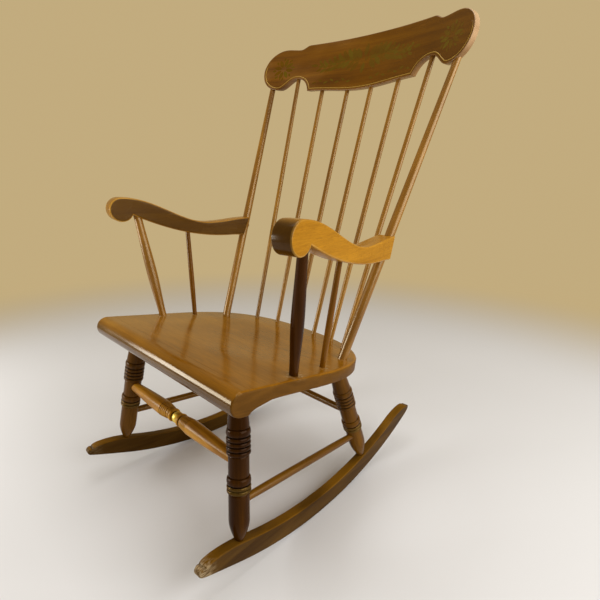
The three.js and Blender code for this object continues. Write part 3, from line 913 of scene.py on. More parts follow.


# Its pale wear colour is laid on the seat's rubbed nose and as painted light on the far side of its top
GOLDEN_MAPLE = StainedMaple(
    "golden_stain", "seat_maple",
    light=(0.305, 0.125, 0.005), middle=(0.230, 0.088, 0.003), dark=(0.150, 0.055, 0.002),
    hollow=(0.026, 0.010, 0.001), worn=(0.46, 0.24, 0.035), figure=0.75, roughness=0.16, gloss=0.30,
    sheen_tint=(1.0, 0.80, 0.40),
)
END_GRAIN_MAPLE = StainedMaple(
    "end_grain_stain", "seat_maple",
    light=(0.190, 0.082, 0.009), middle=(0.130, 0.054, 0.006), dark=(0.078, 0.031, 0.003),
    hollow=(0.100, 0.042, 0.005), worn=(0.24, 0.12, 0.02), flecks=0.6, roughness=0.42, gloss=0.06,
    varnish=0.02,
)
ARM_MAPLE = StainedMaple(
    "arm_stain", "arm_maple",
    light=(0.46, 0.212, 0.013), middle=(0.375, 0.164, 0.009), dark=(0.245, 0.098, 0.005),
    hollow=(0.022, 0.008, 0.002), worn=(0.55, 0.30, 0.05), figure=0.6, roughness=0.26,
    flecks=0.75, fleck_start=0.54, gloss=0.11,
)
# Its pale pinkish wear colour on the crest rail's arrises is partly rubbing and partly a painted
# highlight on the ears' ends
BROWN_MAPLE = StainedMaple(
    "brown_stain", "back_maple",
    light=(0.205, 0.080, 0.002), middle=(0.148, 0.053, 0.001), dark=(0.088, 0.029, 0.001),
    hollow=(0.030, 0.010, 0.001), worn=(0.52, 0.34, 0.19), figure=0.8, roughness=0.24,
    gilding=Gilding(colour=(0.44, 0.26, 0.05), faded=(0.25, 0.135, 0.02), metal=0.2),
)
STENCIL = replace(
    BROWN_MAPLE, name="stencil_bronze",
    light=(0.205, 0.086, 0.002), middle=(0.150, 0.058, 0.001), dark=(0.092, 0.033, 0.001),
    worn=(0.30, 0.145, 0.02),
    gilding=Gilding(colour=(0.132, 0.088, 0.005), faded=(0.100, 0.056, 0.002), metal=0.2),
)
STICK_MAPLE = StainedMaple(
    "stick_stain", "back_maple",
    light=(0.33, 0.148, 0.010), middle=(0.235, 0.097, 0.006), dark=(0.125, 0.044, 0.003),
    hollow=(0.030, 0.010, 0.002), worn=(0.36, 0.18, 0.03), roughness=0.30, gloss=0.95,
    sheen_tint=(1.0, 0.82, 0.52), varnish=0.0, relief=0.015,
)
# A near-black copy of the stick stain: painted shade on the left arm support
SHADED_SUPPORT_MAPLE = StainedMaple(
    "support_stain", "back_maple",
    light=(0.070, 0.024, 0.002), middle=(0.042, 0.013, 0.001), dark=(0.022, 0.006, 0.001),
    hollow=(0.010, 0.003, 0.001), worn=(0.16, 0.07, 0.012), roughness=0.24, gloss=0.10,
    sheen_tint=(1.0, 0.60, 0.35), varnish=0.03,
)
LEG_MAPLE = StainedMaple(
    "leg_stain", "leg_maple",
    light=(0.165, 0.070, 0.006), middle=(0.100, 0.039, 0.003), dark=(0.046, 0.016, 0.001),
    hollow=(0.005, 0.002, 0.001), worn=(0.16, 0.07, 0.012), roughness=0.20, gloss=0.10,
    varnish=0.05, relief=0.04,
    gilding=Gilding(colour=(0.22, 0.15, 0.035), faded=(0.12, 0.075, 0.015)),
)
# A darker copy of the leg stain: painted shade on the left front leg
SHADED_LEG_MAPLE = replace(
    LEG_MAPLE, name="shaded_leg_stain",
    light=(0.054, 0.019, 0.001), middle=(0.031, 0.010, 0.001), dark=(0.014, 0.004, 0.001),
    hollow=(0.004, 0.002, 0.001), worn=(0.12, 0.05, 0.009), gloss=0.09,
    sheen_tint=(1.0, 0.60, 0.35), varnish=0.03,
)
STRETCHER_MAPLE = StainedMaple(
    "stretcher_stain", "stretcher_maple",
    light=(0.20, 0.088, 0.007), middle=(0.135, 0.055, 0.004), dark=(0.075, 0.027, 0.002),
    hollow=(0.020, 0.007, 0.001), worn=(0.36, 0.18, 0.03), roughness=0.24, gloss=0.20,
)
GOLDEN_STRETCHER_MAPLE = StainedMaple(
    "golden_stretcher_stain", "stretcher_maple",
    light=(0.56, 0.275, 0.022), middle=(0.39, 0.172, 0.011), dark=(0.20, 0.075, 0.004),
    hollow=(0.022, 0.008, 0.001), worn=(0.50, 0.26, 0.04), figure=1.3, roughness=0.30, gloss=0.16,
    varnish=0.04, relief=0.03, gilding=Gilding(colour=(0.78, 0.57, 0.12), faded=(0.45, 0.31, 0.05)),
)
ROCKER_MAPLE = StainedMaple(
    "rocker_stain", "rocker_maple",
    light=(0.095, 0.045, 0.007), middle=(0.066, 0.030, 0.004), dark=(0.037, 0.015, 0.002),
    hollow=(0.014, 0.006, 0.001), worn=(0.175, 0.076, 0.004), roughness=0.34, gloss=0.05, varnish=0.02,
)
SCREW_STEEL = ScrewSteel()


@dataclass(frozen=True)
class SeatBoard:
    """The seat: a sloping board with a rolled front, a round back and a shallow dish."""

    width: float = 532.0
    depth: float = 472.0
    thickness: float = 27.0
    nose_height: float = 411.0
    slope_degrees: float = 9.5
    side_length: float = 210.0
    back_exponent: float = 2.6
    top_rounding: float = 6.0
    bottom_rounding: float = 2.5
    roll_radius: float = 23.5
    roll_end_rounding: float = 3.0
    roll_length: float = 46.0
    heel_radius: float = 8.0
    ramp_length: float = 48.0
    dish_width: float = 392.0
    dish_length: float = 320.0
    dish_setback: float = 252.0
    dish_depth: float = 5.0
    dish_power: float = 1.3
    joint_setback: float = 38.0
    joint_depth: float = 0.35
    joint_reach: float = 0.2
    joint_steps: tuple[float, ...] = (0.9, 0.35, 0.0, -0.35, -0.9)
    joint_shade: float = 0.7
    rounding_slack: float = 1.02
    widest_round_step: float = 7.0
    under_edge: float = 4.0
    under_edge_steps: tuple[float, ...] = (2.0, 0.8, 0.0)
    end_chamfer: float = 1.5
    end_grain: float = 0.58
    end_grain_rise: Band = (0.8, 4.2)
    end_grain_edge: Band = (-4.0, 3.6)
    ring_stretch: Triple = (1.0, 0.35, 1.8)
    scratch_reach: float = 17.0
    scratch_fullness: float = 1.5
    scratch_strength: float = 0.62
    front_wear: float = 0.10
    front_wear_setback: float = 4.0
    front_wear_length: float = 16.0
    front_wear_depth: float = 30.0
    # Painted light: how much lighter the top is made towards the far (-X) side, and over what reach
    bleaching: float = 0.34
    bleaching_reach: float = 230.0
    top_depth: float = 8.0
    # Painted shade on the roll's lower face, and the depths where it starts and is full
    roll_shade: float = 0.85
    roll_shade_rise: Band = (6.0, 14.0)
    roll_end_turn: float = 60.0
    heel_end_degrees: float = -20.0
    ramp_start_share: float = 0.2
    upright_slope: float = 0.62
    side_slope: float = 0.5
    least_slant: float = 0.12
    most_share: float = 0.9999
    round_steps: int = 8
    top_steps: int = 30
    nose_steps: int = 6
    roll_steps: int = 19
    heel_steps: int = 5
    under_steps: int = 12
    side_steps: int = 36
    rim_steps: int = 1400
    widest_slice: float = 11.0

    @property
    def tilt(self) -> Array:
        """The turn that lays the seat on its slope."""
        return turn_about_x(-self.slope_degrees)

    def place(self, flat: Array) -> Array:
        """Puts points that are listed across, back and above the seat's top into the chair."""
        return np.asarray(flat, float) @ self.tilt.T + np.array([0, 0, self.nose_height])

    def depth_at(self, back: Array) -> Array:
        """Gives the seat's depth at distances back, past the heel of its roll."""
        heel = 2 * self.roll_radius - self.heel_radius
        return heel + (self.thickness - heel) * rising(back, self.roll_length, self.ramp_length)

    def back_foot(self, share: float, inset_by: float, side: int) -> Array:
        """Finds a stick's foot, inset from the back edge, at a share of the way out to the side."""
        back = self._edge_back(share, inset_by)
        return self.place(np.array([side * share * (self.width / 2 - inset_by), back, 0.0]))

    def _edge_back(self, share: float, inset_by: float = 0.0) -> float:
        """Finds how far back the round edge lies at a share of the way out to the side."""
        round_share = (1 - share**self.back_exponent) ** (1 / self.back_exponent)
        return self.side_length + (self.depth - self.side_length - inset_by) * round_share

    def _rim(self, steps: int) -> tuple[Array, Array]:
        """Lists points round the back edge.

        Args:
            steps: how many there are.

        Returns:
            Their distances across and their distances back.
        """
        angle = np.linspace(0, np.pi, steps)
        power = 2 / self.back_exponent
        across = np.sign(np.cos(angle)) * np.abs(np.cos(angle)) ** power * self.width / 2
        return across, self.side_length + (self.depth - self.side_length) * np.sin(angle) ** power

    def _slices(self) -> Array:
        """Lists the slices across the seat, as [across, how far back the edge lies]."""
        across, back = self._rim(2 * self.side_steps + 1)
        fine = [(across[0], back[0])]
        for start, end, back_end in zip(across, across[1:], back[1:]):
            parts = max(1, math.ceil(abs(end - start) / self.widest_slice))
            for part in range(1, parts):
                x = start + (end - start) * part / parts
                fine.append((x, self._edge_back(min(1.0, abs(2 * x / self.width)))))
            fine.append((end, back_end))
        return np.array(fine)

    def _edge_gap(self, across: Array | float, back: Array) -> Array:
        """Measures how far points lie inside the seat's edge, seen from above.

        Args:
            across: their distances across, or the one that they share.
            back: their distances back.

        Returns:
            Their distances from the edge.
        """
        x, y = self._rim(self.rim_steps)
        round_gap = np.hypot(np.asarray(across)[..., None] - x, back[..., None] - y).min(-1)
        side_gap = np.maximum(self.width / 2 - np.abs(across), 0)
        return np.where(back > self.side_length, round_gap, side_gap)

    def _dish(self, across: float, back: Array) -> Array:
        """Gives the depth of the dish under the seat's top."""
        reach = (2 * across / self.dish_width) ** 2
        reach = reach + (2 * (back - self.dish_setback) / self.dish_length) ** 2
        return self.dish_depth * np.clip(1 - reach, 0, 1) ** self.dish_power

    def _on_joint(self, back: Array) -> Array:
        """Says which distances back lie on the joint between the board and its roll."""
        return np.abs(back - self.joint_setback) < self.joint_reach

    def _section(self, across: float, edge: float) -> Array:
        """Shapes one slice from its back edge over the top, round the roll and back below."""
        return np.concatenate([self._top(across, edge), self._roll(across), self._under(across, edge)])

    def _top(self, across: float, edge: float) -> Array:
        """Shapes a slice's top, with its dish and joint.

        Args:
            across: where the slice lies.
            edge: how far back the seat's edge lies there.

        Returns:
            Its points as [back, above].
        """
        angle = np.linspace(0, np.pi / 2, self.round_steps)
        near = self.top_rounding * self.rounding_slack * (1 - np.cos(angle)) / self._slant(across)
        near = np.minimum(near, self.widest_round_step * np.arange(self.round_steps))
        joint = self.joint_setback + np.array(self.joint_steps)
        back = np.concatenate([
            edge - near,
            np.linspace(edge - near[-1], joint[0], self.top_steps)[1:],
            joint[1:],
            np.linspace(joint[-1], self.roll_radius, self.nose_steps)[1:],
        ])
        top = -self._dish(across, back) - fall(self._edge_gap(across, back), self.top_rounding)
        return np.stack([back, top - self.joint_depth * self._on_joint(back)], 1)

    def _roll(self, across: float) -> Array:
        """Shapes a slice's roll and its heel.

        Args:
            across: where the slice lies.

        Returns:
            Its points as [back, above].
        """
        side_gap = max(self.width / 2 - abs(across), 0.0)
        degrees = np.linspace(90, 270, self.roll_steps)[1:]
        share = rising(degrees, 90, self.roll_end_turn)
        rounding = self.top_rounding + (self.roll_end_rounding - self.top_rounding) * share
        radius = self.roll_radius - fall(side_gap, rounding)
        angles = np.radians(degrees)
        centre = np.array([self.roll_radius, -self.roll_radius])
        roll = centre + radius[:, None] * np.stack([np.cos(angles), np.sin(angles)], 1)
        heel_centre = (self.roll_length - self.heel_radius, self.heel_radius - 2 * self.roll_radius)
        heel_radius = self.heel_radius - fall(side_gap, self.roll_end_rounding)
        heel = arc(heel_centre, heel_radius, -90, self.heel_end_degrees, self.heel_steps)
        return np.concatenate([roll, heel])

    def _under(self, across: float, edge: float) -> Array:
        """Shapes a slice's underside.

        Args:
            across: where the slice lies.
            edge: how far back the seat's edge lies there.

        Returns:
            Its points as [back, above].
        """
        start = self.roll_length + self.ramp_length * self.ramp_start_share
        back = np.linspace(start, edge - self.under_edge, self.under_steps)
        back = np.concatenate([back, edge - np.array(self.under_edge_steps)])
        above = -self.depth_at(back) + fall(self._edge_gap(across, back), self.bottom_rounding)
        return np.stack([back, above], 1)

    def _slant(self, across: float) -> float:
        """Gives how squarely the back edge faces backwards.

        Args:
            across: the distance across.

        Returns:
            A share from almost 0 to 1.
        """
        share = min(abs(2 * across / self.width), self.most_share)
        power = self.back_exponent
        steep = share ** (power - 1) * (1 - share**power) ** (1 / power - 1)
        slope = steep * (self.depth - self.side_length) * 2 / self.width
        return max(1 / math.hypot(1, slope), self.least_slant)

    def _marks(self, flat: Array, feet: Iterable[tuple[Array, float]]) -> Marks:
        """Tells the finish where the seat is scratched and rubbed, where its end grain and joint are
        dark, and where light and shade are painted.

        Args:
            flat: its points, as distances across, back and above its top.
            feet: the places where sticks stand, each with how scratched the seat is round it.

        Returns:
            The marks.
        """
        places = self.place(flat)
        scratched = np.zeros(len(places))
        for foot, strength in feet:
            gap = np.linalg.norm(places - foot, axis=1)
            near = np.clip(self.scratch_fullness - gap / self.scratch_reach, 0, 1)
            scratched = np.maximum(scratched, strength * near)
        across, back, above = flat.T
        on_top = above > -self.top_depth
        nose = np.exp(-(((back - self.front_wear_setback) / self.front_wear_length) ** 2))
        front_wear = nose * (above > -self.front_wear_depth) * self.front_wear
        # Painted light: the top is lightened towards the far (-X) side
        lit_far_side = self.bleaching * rising(-across, 0, self.bleaching_reach) * on_top
        slant = np.array([self._slant(x) for x in across])
        faces_side = np.where(back > self.side_length, np.sqrt(1 - slant**2), 1.0)
        near_edge = rising(-self._edge_gap(across, back), *self.end_grain_edge)
        end_grain = self.end_grain * faces_side * near_edge * rising(-above, *self.end_grain_rise)
        # Painted shade: the roll's lower face is darkened
        shade_under_roll = self.roll_shade * rising(-above, *self.roll_shade_rise) * (back < self.roll_length)
        joint = self.joint_shade * self._on_joint(back) * on_top
        return {
            "bare": scratched * self.scratch_strength,
            "worn": np.maximum(front_wear, lit_far_side),
            "hollow": np.maximum(np.maximum(end_grain, shade_under_roll), joint),
        }

    def build(self, feet: Iterable[tuple[Array, float]]) -> None:
        """Shapes the seat.

        Args:
            feet: the places on its top where sticks stand, each with how scratched it is round them.
        """
        slices = self._slices()
        sections = np.array([self._section(x, edge) for x, edge in slices])
        columns = sections.shape[1]
        across = np.repeat(slices[:, :1], columns, 1)
        flat = np.stack([across, sections[..., 0], sections[..., 1]], -1).reshape(-1, 3)
        made = Stock("seat_board")
        first = made.add(self.place(flat), flat * self.ring_stretch, **self._marks(flat, feet))
        made.web(first, len(slices), columns)
        for end, left in ((0, True), (len(slices) - 1, False)):
            loop = first + end * columns
            ring = inset(sections[end], self.end_chamfer)
            cap = np.column_stack([np.full(columns, slices[end, 0]), ring])
            inner = made.add(self.place(cap), cap * self.ring_stretch, hollow=self.end_grain)
            for column in range(columns):
                following = (column + 1) % columns
                face = (loop + column, loop + following, inner + following, inner + column)
                made.faces.append(face[::-1] if left else face)
            made.close(inner, columns, backwards=left)
        self._dull_sides(made.object(GOLDEN_MAPLE, ["seat"]))

    def _dull_sides(self, board: bpy.types.Object) -> None:
        """Dresses the upright faces of the sides and the back in dull end grain.

        Args:
            board: the shaped seat.
        """
        board.data.materials.append(END_GRAIN_MAPLE.material())
        up = Vector(self.tilt[:, 2])
        nose = (PACKED_ORIGIN[1] + self.joint_setback) * METRES
        for face in board.data.polygons:
            upright = abs(face.normal.dot(up)) < self.upright_slope
            front = face.center.y < nose and abs(face.normal.x) < self.side_slope
            if upright and not front:
                face.material_index = 1


@dataclass(frozen=True)
class Rockers:
    """The two sawn rockers, each an arc of the same circle that tapers to rounded tips."""

    seat: SeatBoard
    sole_radius: float = 809.9
    centre_height: float = 810.0
    sole_setback: float = 283.0
    height: float = 42.0
    thickness: float = 22.0
    front_reach: float = 355.5
    rear_reach: float = 387.6
    nose_taper: float = 100.0
    tail_taper: float = 84.0
    nose_radius: float = 8.0
    nose_drop: float = 4.0
    nose_drop_length: float = 80.0
    tail_radius: float = 6.0
    tip_fullness: float = 0.55
    inset_by: float = 44.5
    toe_degrees: float = 3.4
    tip_rounding: float = 20.0
    tip_narrowing: float = 0.28
    rounding: float = 2.6
    bare_reach: float = 30.0
    bare_fullness: float = 1.25
    right_bareness: float = 0.25
    # How much lighter the top face and its arrises are made, and from what share of the height
    rub: float = 0.9
    rub_start_share: float = 0.7
    rub_depth_share: float = 0.9
    steps: int = 120
    fall_steps: int = 26
    fall_gap: float = 2.0
    fill_spacing: float = 11.0

    def on_side(self, reach: Array, height: Array) -> Array:
        """Finds a place on a rocker's side, as [back, up] from the middle of its sole.

        Args:
            reach: the distance along from the middle.
            height: the height over the sole.

        Returns:
            The places, one a row.
        """
        angle = np.arcsin(np.asarray(reach) / self.sole_radius)
        radius = self.sole_radius - np.asarray(height)
        return np.stack([radius * np.sin(angle), self.centre_height - radius * np.cos(angle)], -1)

    def rise(self, reach: float) -> float:
        """Gives a rocker's height over its sole, which falls to its tips.

        Args:
            reach: the distance along from the middle.

        Returns:
            The height.
        """
        end, taper, radius = self.rear_reach, self.tail_taper, self.tail_radius
        drop = self.nose_drop if reach < 0 else 0.0
        if reach < 0:
            end, taper, radius = self.front_reach, self.nose_taper, self.nose_radius
        share = float(rising(abs(reach), end - taper, taper - radius))
        low = 2 * radius - drop
        return low + (self.height - low) * math.cos(share * math.pi / 2) ** self.tip_fullness

    def _drop(self, reach: Array) -> Array:
        """Gives how far the nose hangs below the sole's circle."""
        start = self.front_reach - self.nose_radius - self.nose_drop_length
        return self.nose_drop * rising(-reach, start, self.nose_drop_length) ** 2

    def place(self, side: int, flat: Array, across: Array) -> Array:
        """Puts points of a rocker's side into the chair.

        Args:
            side: the hand's sign.
            flat: the points as [back, up].
            across: their distance across the rocker.

        Returns:
            Their places.
        """
        end = np.where(flat[:, 0] < 0, self.front_reach, self.rear_reach)
        near_tip = rising(np.abs(flat[:, 0]), end - self.tip_rounding, self.tip_rounding)
        local = np.column_stack([across * (1 - self.tip_narrowing * near_tip**2), flat])
        middle = np.array([side * (self.seat.width / 2 - self.inset_by), self.sole_setback, 0.0])
        return local @ turn_about_z(side * math.radians(self.toe_degrees)).T + middle

    def foot(self, setback: float, side: int) -> Array:
        """Finds where a leg stands.

        Args:
            setback: its distance from the nose of the seat.
            side: the hand's sign.

        Returns:
            The place on the rocker's top.
        """
        level = (setback - self.sole_setback) / math.cos(math.radians(self.toe_degrees))
        reach = level * self.sole_radius / (self.sole_radius - self.height)
        flat = self.on_side(np.array([reach]), np.array([self.rise(reach)]))
        return self.place(side, flat, np.zeros(1))[0]

    def outline(self) -> Outline:
        """Draws the side of a rocker, counterclockwise."""
        front = self.nose_radius - self.front_reach
        rear = self.rear_reach - self.tail_radius
        reaches = np.linspace(front, rear, self.steps)
        sole = np.stack([reaches, -self._drop(reaches)], 1)
        share = np.sin(np.linspace(0, np.pi / 2, self.fall_steps))
        nose_fall = -(self.front_reach - self.nose_taper + share * (self.nose_taper - self.nose_radius))
        tail_fall = self.rear_reach - self.tail_taper + share * (self.tail_taper - self.tail_radius)
        past_nose, before_tail = nose_fall[0] + self.fall_gap, tail_fall[0] - self.fall_gap
        level = reaches[(reaches > past_nose) & (reaches < before_tail)]
        along = np.concatenate([nose_fall[::-1], level, tail_fall])
        top = np.stack([along, [self.rise(reach) for reach in along]], 1)[::-1]
        tail = arc((rear, self.tail_radius), self.tail_radius, -90, 90, 10)[1:-1]
        nose = arc((front, self.nose_radius - self.nose_drop), self.nose_radius, 90, 270, 12)[1:-1]
        flat = np.concatenate([sole, tail, top, nose])
        return self.on_side(flat[:, 0], flat[:, 1])

    def _marks(self, hand: Hand, tip: float, points: Outline, depth: float, _level: float) -> Marks:
        """Bares the nose, most of all the left one, and lightens the top face and its arrises.

        Args:
            hand: the rocker's side.
            tip: how far back its front end lies.
            points: the points as [back, up].
            depth: their inset from the outline.

        Returns:
            The marks.
        """
        bareness = 1.0 if hand is Hand.LEFT else self.right_bareness
        bare = np.clip(self.bare_fullness - (points[:, 0] - tip) / self.bare_reach, 0, 1) * bareness
        over = self.sole_radius - np.hypot(points[:, 0], self.centre_height - points[:, 1])
        rise = np.array([self.rise(reach) for reach in points[:, 0]])
        arris = depth < self.rounding * self.rub_depth_share
        return {"bare": bare, "worn": self.rub * (over > self.rub_start_share * rise) * arris}

    def build(self) -> None:
        """Saws both rockers."""
        outline = self.outline()
        for hand in Hand:
            plank = Plank(
                f"rocker_sawn_{hand.word}", outline, self.thickness, self.rounding,
                partial(self.place, hand.value), fill_spacing=self.fill_spacing,
            )
            made = plank.stock(partial(self._marks, hand, outline[:, 0].min()))
            made.object(ROCKER_MAPLE, [f"rocker_{hand.word}"])


class LegEnd(Enum):
    """The two pairs of legs."""

    FRONT = "front"
    REAR = "rear"


@dataclass(frozen=True)
class Legs:
    """The four turned legs, each from a rocker up into the seat."""

    seat: SeatBoard
    rockers: Rockers
    front_inset: float = 72.0
    front_setback: float = 72.0
    front_kick: float = -38.0
    rear_inset: float = 73.0
    rear_from_back: float = 118.0
    rear_kick: float = 93.0
    neck_radius: float = 16.5
    barrel_radius: float = 20.0
    ring_radius: float = 23.2
    groove_radius: float = 18.8
    lower_rings_share: float = 0.33
    upper_rings_share: float = 0.583
    small_bead: float = 8.0
    middle_bead: float = 9.0
    wide_bead: float = 15.0
    foot_radius: float = 7.5
    front_foot_taper: float = 42.0
    rear_foot_taper: float = 55.0
    foot_tuck: float = 9.0
    head_tuck: float = 7.0
    foot_shoulder: float = 4.0
    ring_step: float = 1.2
    neck_step: float = 1.0
    neck_swell_drop: float = 2.2
    bead_fullness: float = 0.62
    foot_fullness: float = 0.95
    neck_hollow: float = 1.25
    gilt_margin: float = 0.6
    gilt_strength: float = 0.55
    foot_steps: int = 15
    barrel_steps: int = 14
    bead_steps: int = 13
    neck_steps: int = 12
    around: int = 48

    def ends(self, which: LegEnd, side: int) -> tuple[Array, Array]:
        """Finds the foot and the head of a leg.

        Args:
            which: its pair.
            side: the hand's sign.

        Returns:
            Its foot on the rocker and its head under the seat.
        """
        front = which is LegEnd.FRONT
        inset_by = self.front_inset if front else self.rear_inset
        back = self.front_setback if front else self.seat.depth - self.rear_from_back
        kick = self.front_kick if front else self.rear_kick
        flat = np.array([side * (self.seat.width / 2 - inset_by), back, -self.seat.depth_at(back)])
        head = self.seat.place(flat)
        return self.rockers.foot(head[1] + kick, side), head

    def on_axis(self, which: LegEnd, side: int, share: float) -> Array:
        """Finds a place on a leg's axis, at a share of its length."""
        foot, head = self.ends(which, side)
        return foot + (head - foot) * share

    def _bead(self, start: float, width: float) -> Outline:
        """Draws the profile of one turned bead, from groove to groove.

        Args:
            start: the height where it starts.
            width: its width.

        Returns:
            The profile as [height, radius].
        """
        angle = np.linspace(0, np.pi, self.bead_steps)
        height = start + width * (1 - np.cos(angle)) / 2
        swell = (self.ring_radius - self.groove_radius) * np.sin(angle) ** self.bead_fullness
        return np.stack([height, self.groove_radius + swell], 1)

    def _profile(self, length: float, taper: float) -> Outline:
        """Draws a leg's profile as [height, radius].

        Args:
            length: its length between rocker and seat.
            taper: the length of its rounded foot.

        Returns:
            The profile.
        """
        share = np.linspace(0, 1, self.foot_steps)
        swell = np.sin(share * np.pi / 2) ** self.foot_fullness
        radius = self.foot_radius + (self.barrel_radius - self.foot_radius) * swell
        runs = [(-self.foot_tuck, self.foot_radius), np.stack([share * taper, radius], 1)]
        start = taper + self.foot_shoulder
        for share, widths in (
            (self.lower_rings_share, (self.small_bead, self.small_bead, self.wide_bead)),
            (self.upper_rings_share, (*(self.middle_bead,) * 4, self.wide_bead)),
        ):
            rings = length * share
            barrel = np.linspace(start, rings - self.ring_step, self.barrel_steps)
            runs.append(np.stack([barrel, np.full(self.barrel_steps, self.barrel_radius)], 1))
            for width in widths:
                runs.append(self._bead(rings, width))
                rings += width
            start = rings + self.ring_step
        neck = np.linspace(0, 1, self.neck_steps)
        swell = self.ring_radius - self.neck_swell_drop - self.neck_radius
        radius = self.neck_radius + swell * (1 - neck) ** self.neck_hollow
        first = rings + self.neck_step
        runs.append(np.stack([first + neck * (length - first), radius], 1))
        runs.append((length + self.head_tuck, self.neck_radius))
        return joined(*runs)

    def build(self) -> None:
        """Turns the four legs, gilds their small beads and paints shade on the left front leg."""
        for which in LegEnd:
            taper = self.front_foot_taper if which is LegEnd.FRONT else self.rear_foot_taper
            for hand in Hand:
                foot, head = self.ends(which, hand.value)
                length = length_between(foot, head)
                start = length * self.lower_rings_share
                end = start + 2 * self.small_bead
                turning = Turning(
                    f"{which.value}_leg_turned_{hand.word}", foot, head, self._profile(length, taper),
                    gilt=[(start + self.gilt_margin, end - self.gilt_margin)],
                    gilt_strength=self.gilt_strength, around=self.around,
                )
                # The left front leg gets a darker copy of the leg stain: painted shade
                shaded = which is LegEnd.FRONT and hand is Hand.LEFT
                finish = SHADED_LEG_MAPLE if shaded else LEG_MAPLE
                turning.turn(finish, f"{which.value}_leg_{hand.word}")


@dataclass(frozen=True)
class Stretchers:
    """The four turned stretchers between the legs, the front one with a gilt ball."""

    legs: Legs
    side_front_share: float = 0.2565
    side_rear_share: float = 0.2461
    rear_share: float = 0.5097
    front_share: float = 0.5268
    plain_radius: float = 8.5
    plain_end_radius: float = 7.5
    end_radius: float = 11.0
    swell_radius: float = 17.5
    swell_reach: float = 52.0
    grooves: int = 4
    groove_pitch: float = 5.5
    groove_depth: float = 2.0
    bead_radius: float = 15.0
    bead_reach: float = 20.0
    cove_radius: float = 9.0
    cove_width: float = 2.5
    ball_radius: float = 13.0
    bead_drop: float = 1.0
    saddle_drop: float = 0.8
    swell_step: float = 1.0
    bead_fullness: float = 0.7
    groove_fullness: float = 0.55
    swell_hollow: float = 1.5
    gilt_reach: float = 9.2
    end_swell_share: float = 0.25
    tuck: float = 12.0
    around: int = 48

    def _plain(self, length: float) -> Outline:
        """Draws a plain stretcher's profile.

        Args:
            length: its length.

        Returns:
            The profile as [height, radius].
        """
        share = np.linspace(0, 1, 41)
        swell = np.sin(rising(np.minimum(share, 1 - share), 0, self.end_swell_share) * np.pi / 2)
        radius = self.plain_end_radius + (self.plain_radius - self.plain_end_radius) * swell
        return np.stack([share * length, radius], 1)

    def _half_front(self, half: float) -> Outline:
        """Draws the front stretcher's profile from the middle of its ball to one end.

        Args:
            half: half of its length.

        Returns:
            The profile, from the middle out.
        """
        end = math.degrees(math.asin(self.cove_radius / self.ball_radius))
        ball = arc((0, 0), self.ball_radius, 90, end, 12)
        cove_end = ball[-1, 0] + self.cove_width
        runs = [ball, (cove_end, self.cove_radius)]
        angle = np.linspace(0, np.pi, 11)
        width = self.bead_reach - cove_end
        low = self.bead_radius - self.groove_depth - self.bead_drop
        bead = cove_end + width * (1 - np.cos(angle)) / 2
        radius = low + (self.bead_radius - low) * np.sin(angle) ** self.bead_fullness
        runs.append(np.stack([bead, radius], 1))
        first = self.swell_reach - self.grooves * self.groove_pitch
        runs.append(((self.bead_reach + first) / 2, self.bead_radius - self.saddle_drop))
        for groove in range(self.grooves):
            start = first + groove * self.groove_pitch
            rise = (start + self.groove_pitch / 2 - first) / (self.swell_reach - first)
            low = self.bead_radius + (self.swell_radius - self.bead_radius) * rise - self.groove_depth
            height = start + self.groove_pitch * (1 - np.cos(angle)) / 2
            radius = low + self.groove_depth * np.sin(angle) ** self.groove_fullness
            runs.append(np.stack([height, radius], 1))
        share = np.linspace(0, 1, 30)
        radius = self.swell_radius - (self.swell_radius - self.end_radius) * share**self.swell_hollow
        start = self.swell_reach + self.swell_step
        runs.append(np.stack([start + share * (half - start), radius], 1))
        return joined(*runs)

    def _front(self, length: float) -> Outline:
        """Draws the whole front stretcher's profile.

        Args:
            length: its length.

        Returns:
            The profile as [height, radius].
        """
        half = self._half_front(length / 2)
        other = half[:0:-1] * np.array([-1, 1])
        return np.concatenate([other, half]) + np.array([length / 2, 0])

    def _ends(self, start: Array, end: Array) -> tuple[Array, Array, float]:
        """Tucks a stretcher into the legs that hold it.

        Args:
            start: the place on the first leg's axis.
            end: the place on the second leg's axis.

        Returns:
            Its two ends and its length.
        """
        along = unit(end - start)
        foot, head = start + along * self.tuck, end - along * self.tuck
        return foot, head, length_between(foot, head)

    def build(self) -> None:
        """Turns the four stretchers."""
        for hand in Hand:
            start = self.legs.on_axis(LegEnd.FRONT, hand.value, self.side_front_share)
            end = self.legs.on_axis(LegEnd.REAR, hand.value, self.side_rear_share)
            foot, head, length = self._ends(start, end)
            turning = Turning(f"side_stretcher_turned_{hand.word}", foot, head, self._plain(length))
            turning.turn(STRETCHER_MAPLE, f"side_stretcher_{hand.word}")
        left, right = (self.legs.on_axis(LegEnd.FRONT, hand.value, self.front_share) for hand in Hand)
        foot, head, length = self._ends(left, right)
        turning = Turning(
            "front_stretcher_turned", foot, head, self._front(length),
            gilt=[(length / 2 - self.gilt_reach, length / 2 + self.gilt_reach)], around=self.around,
        )
        turning.turn(GOLDEN_STRETCHER_MAPLE, "front_stretcher")
        left, right = (self.legs.on_axis(LegEnd.REAR, hand.value, self.rear_share) for hand in Hand)
        foot, head, length = self._ends(left, right)
        turning = Turning("rear_stretcher_turned", foot, head, self._plain(length), around=self.around)
        turning.turn(STRETCHER_MAPLE, "rear_stretcher")


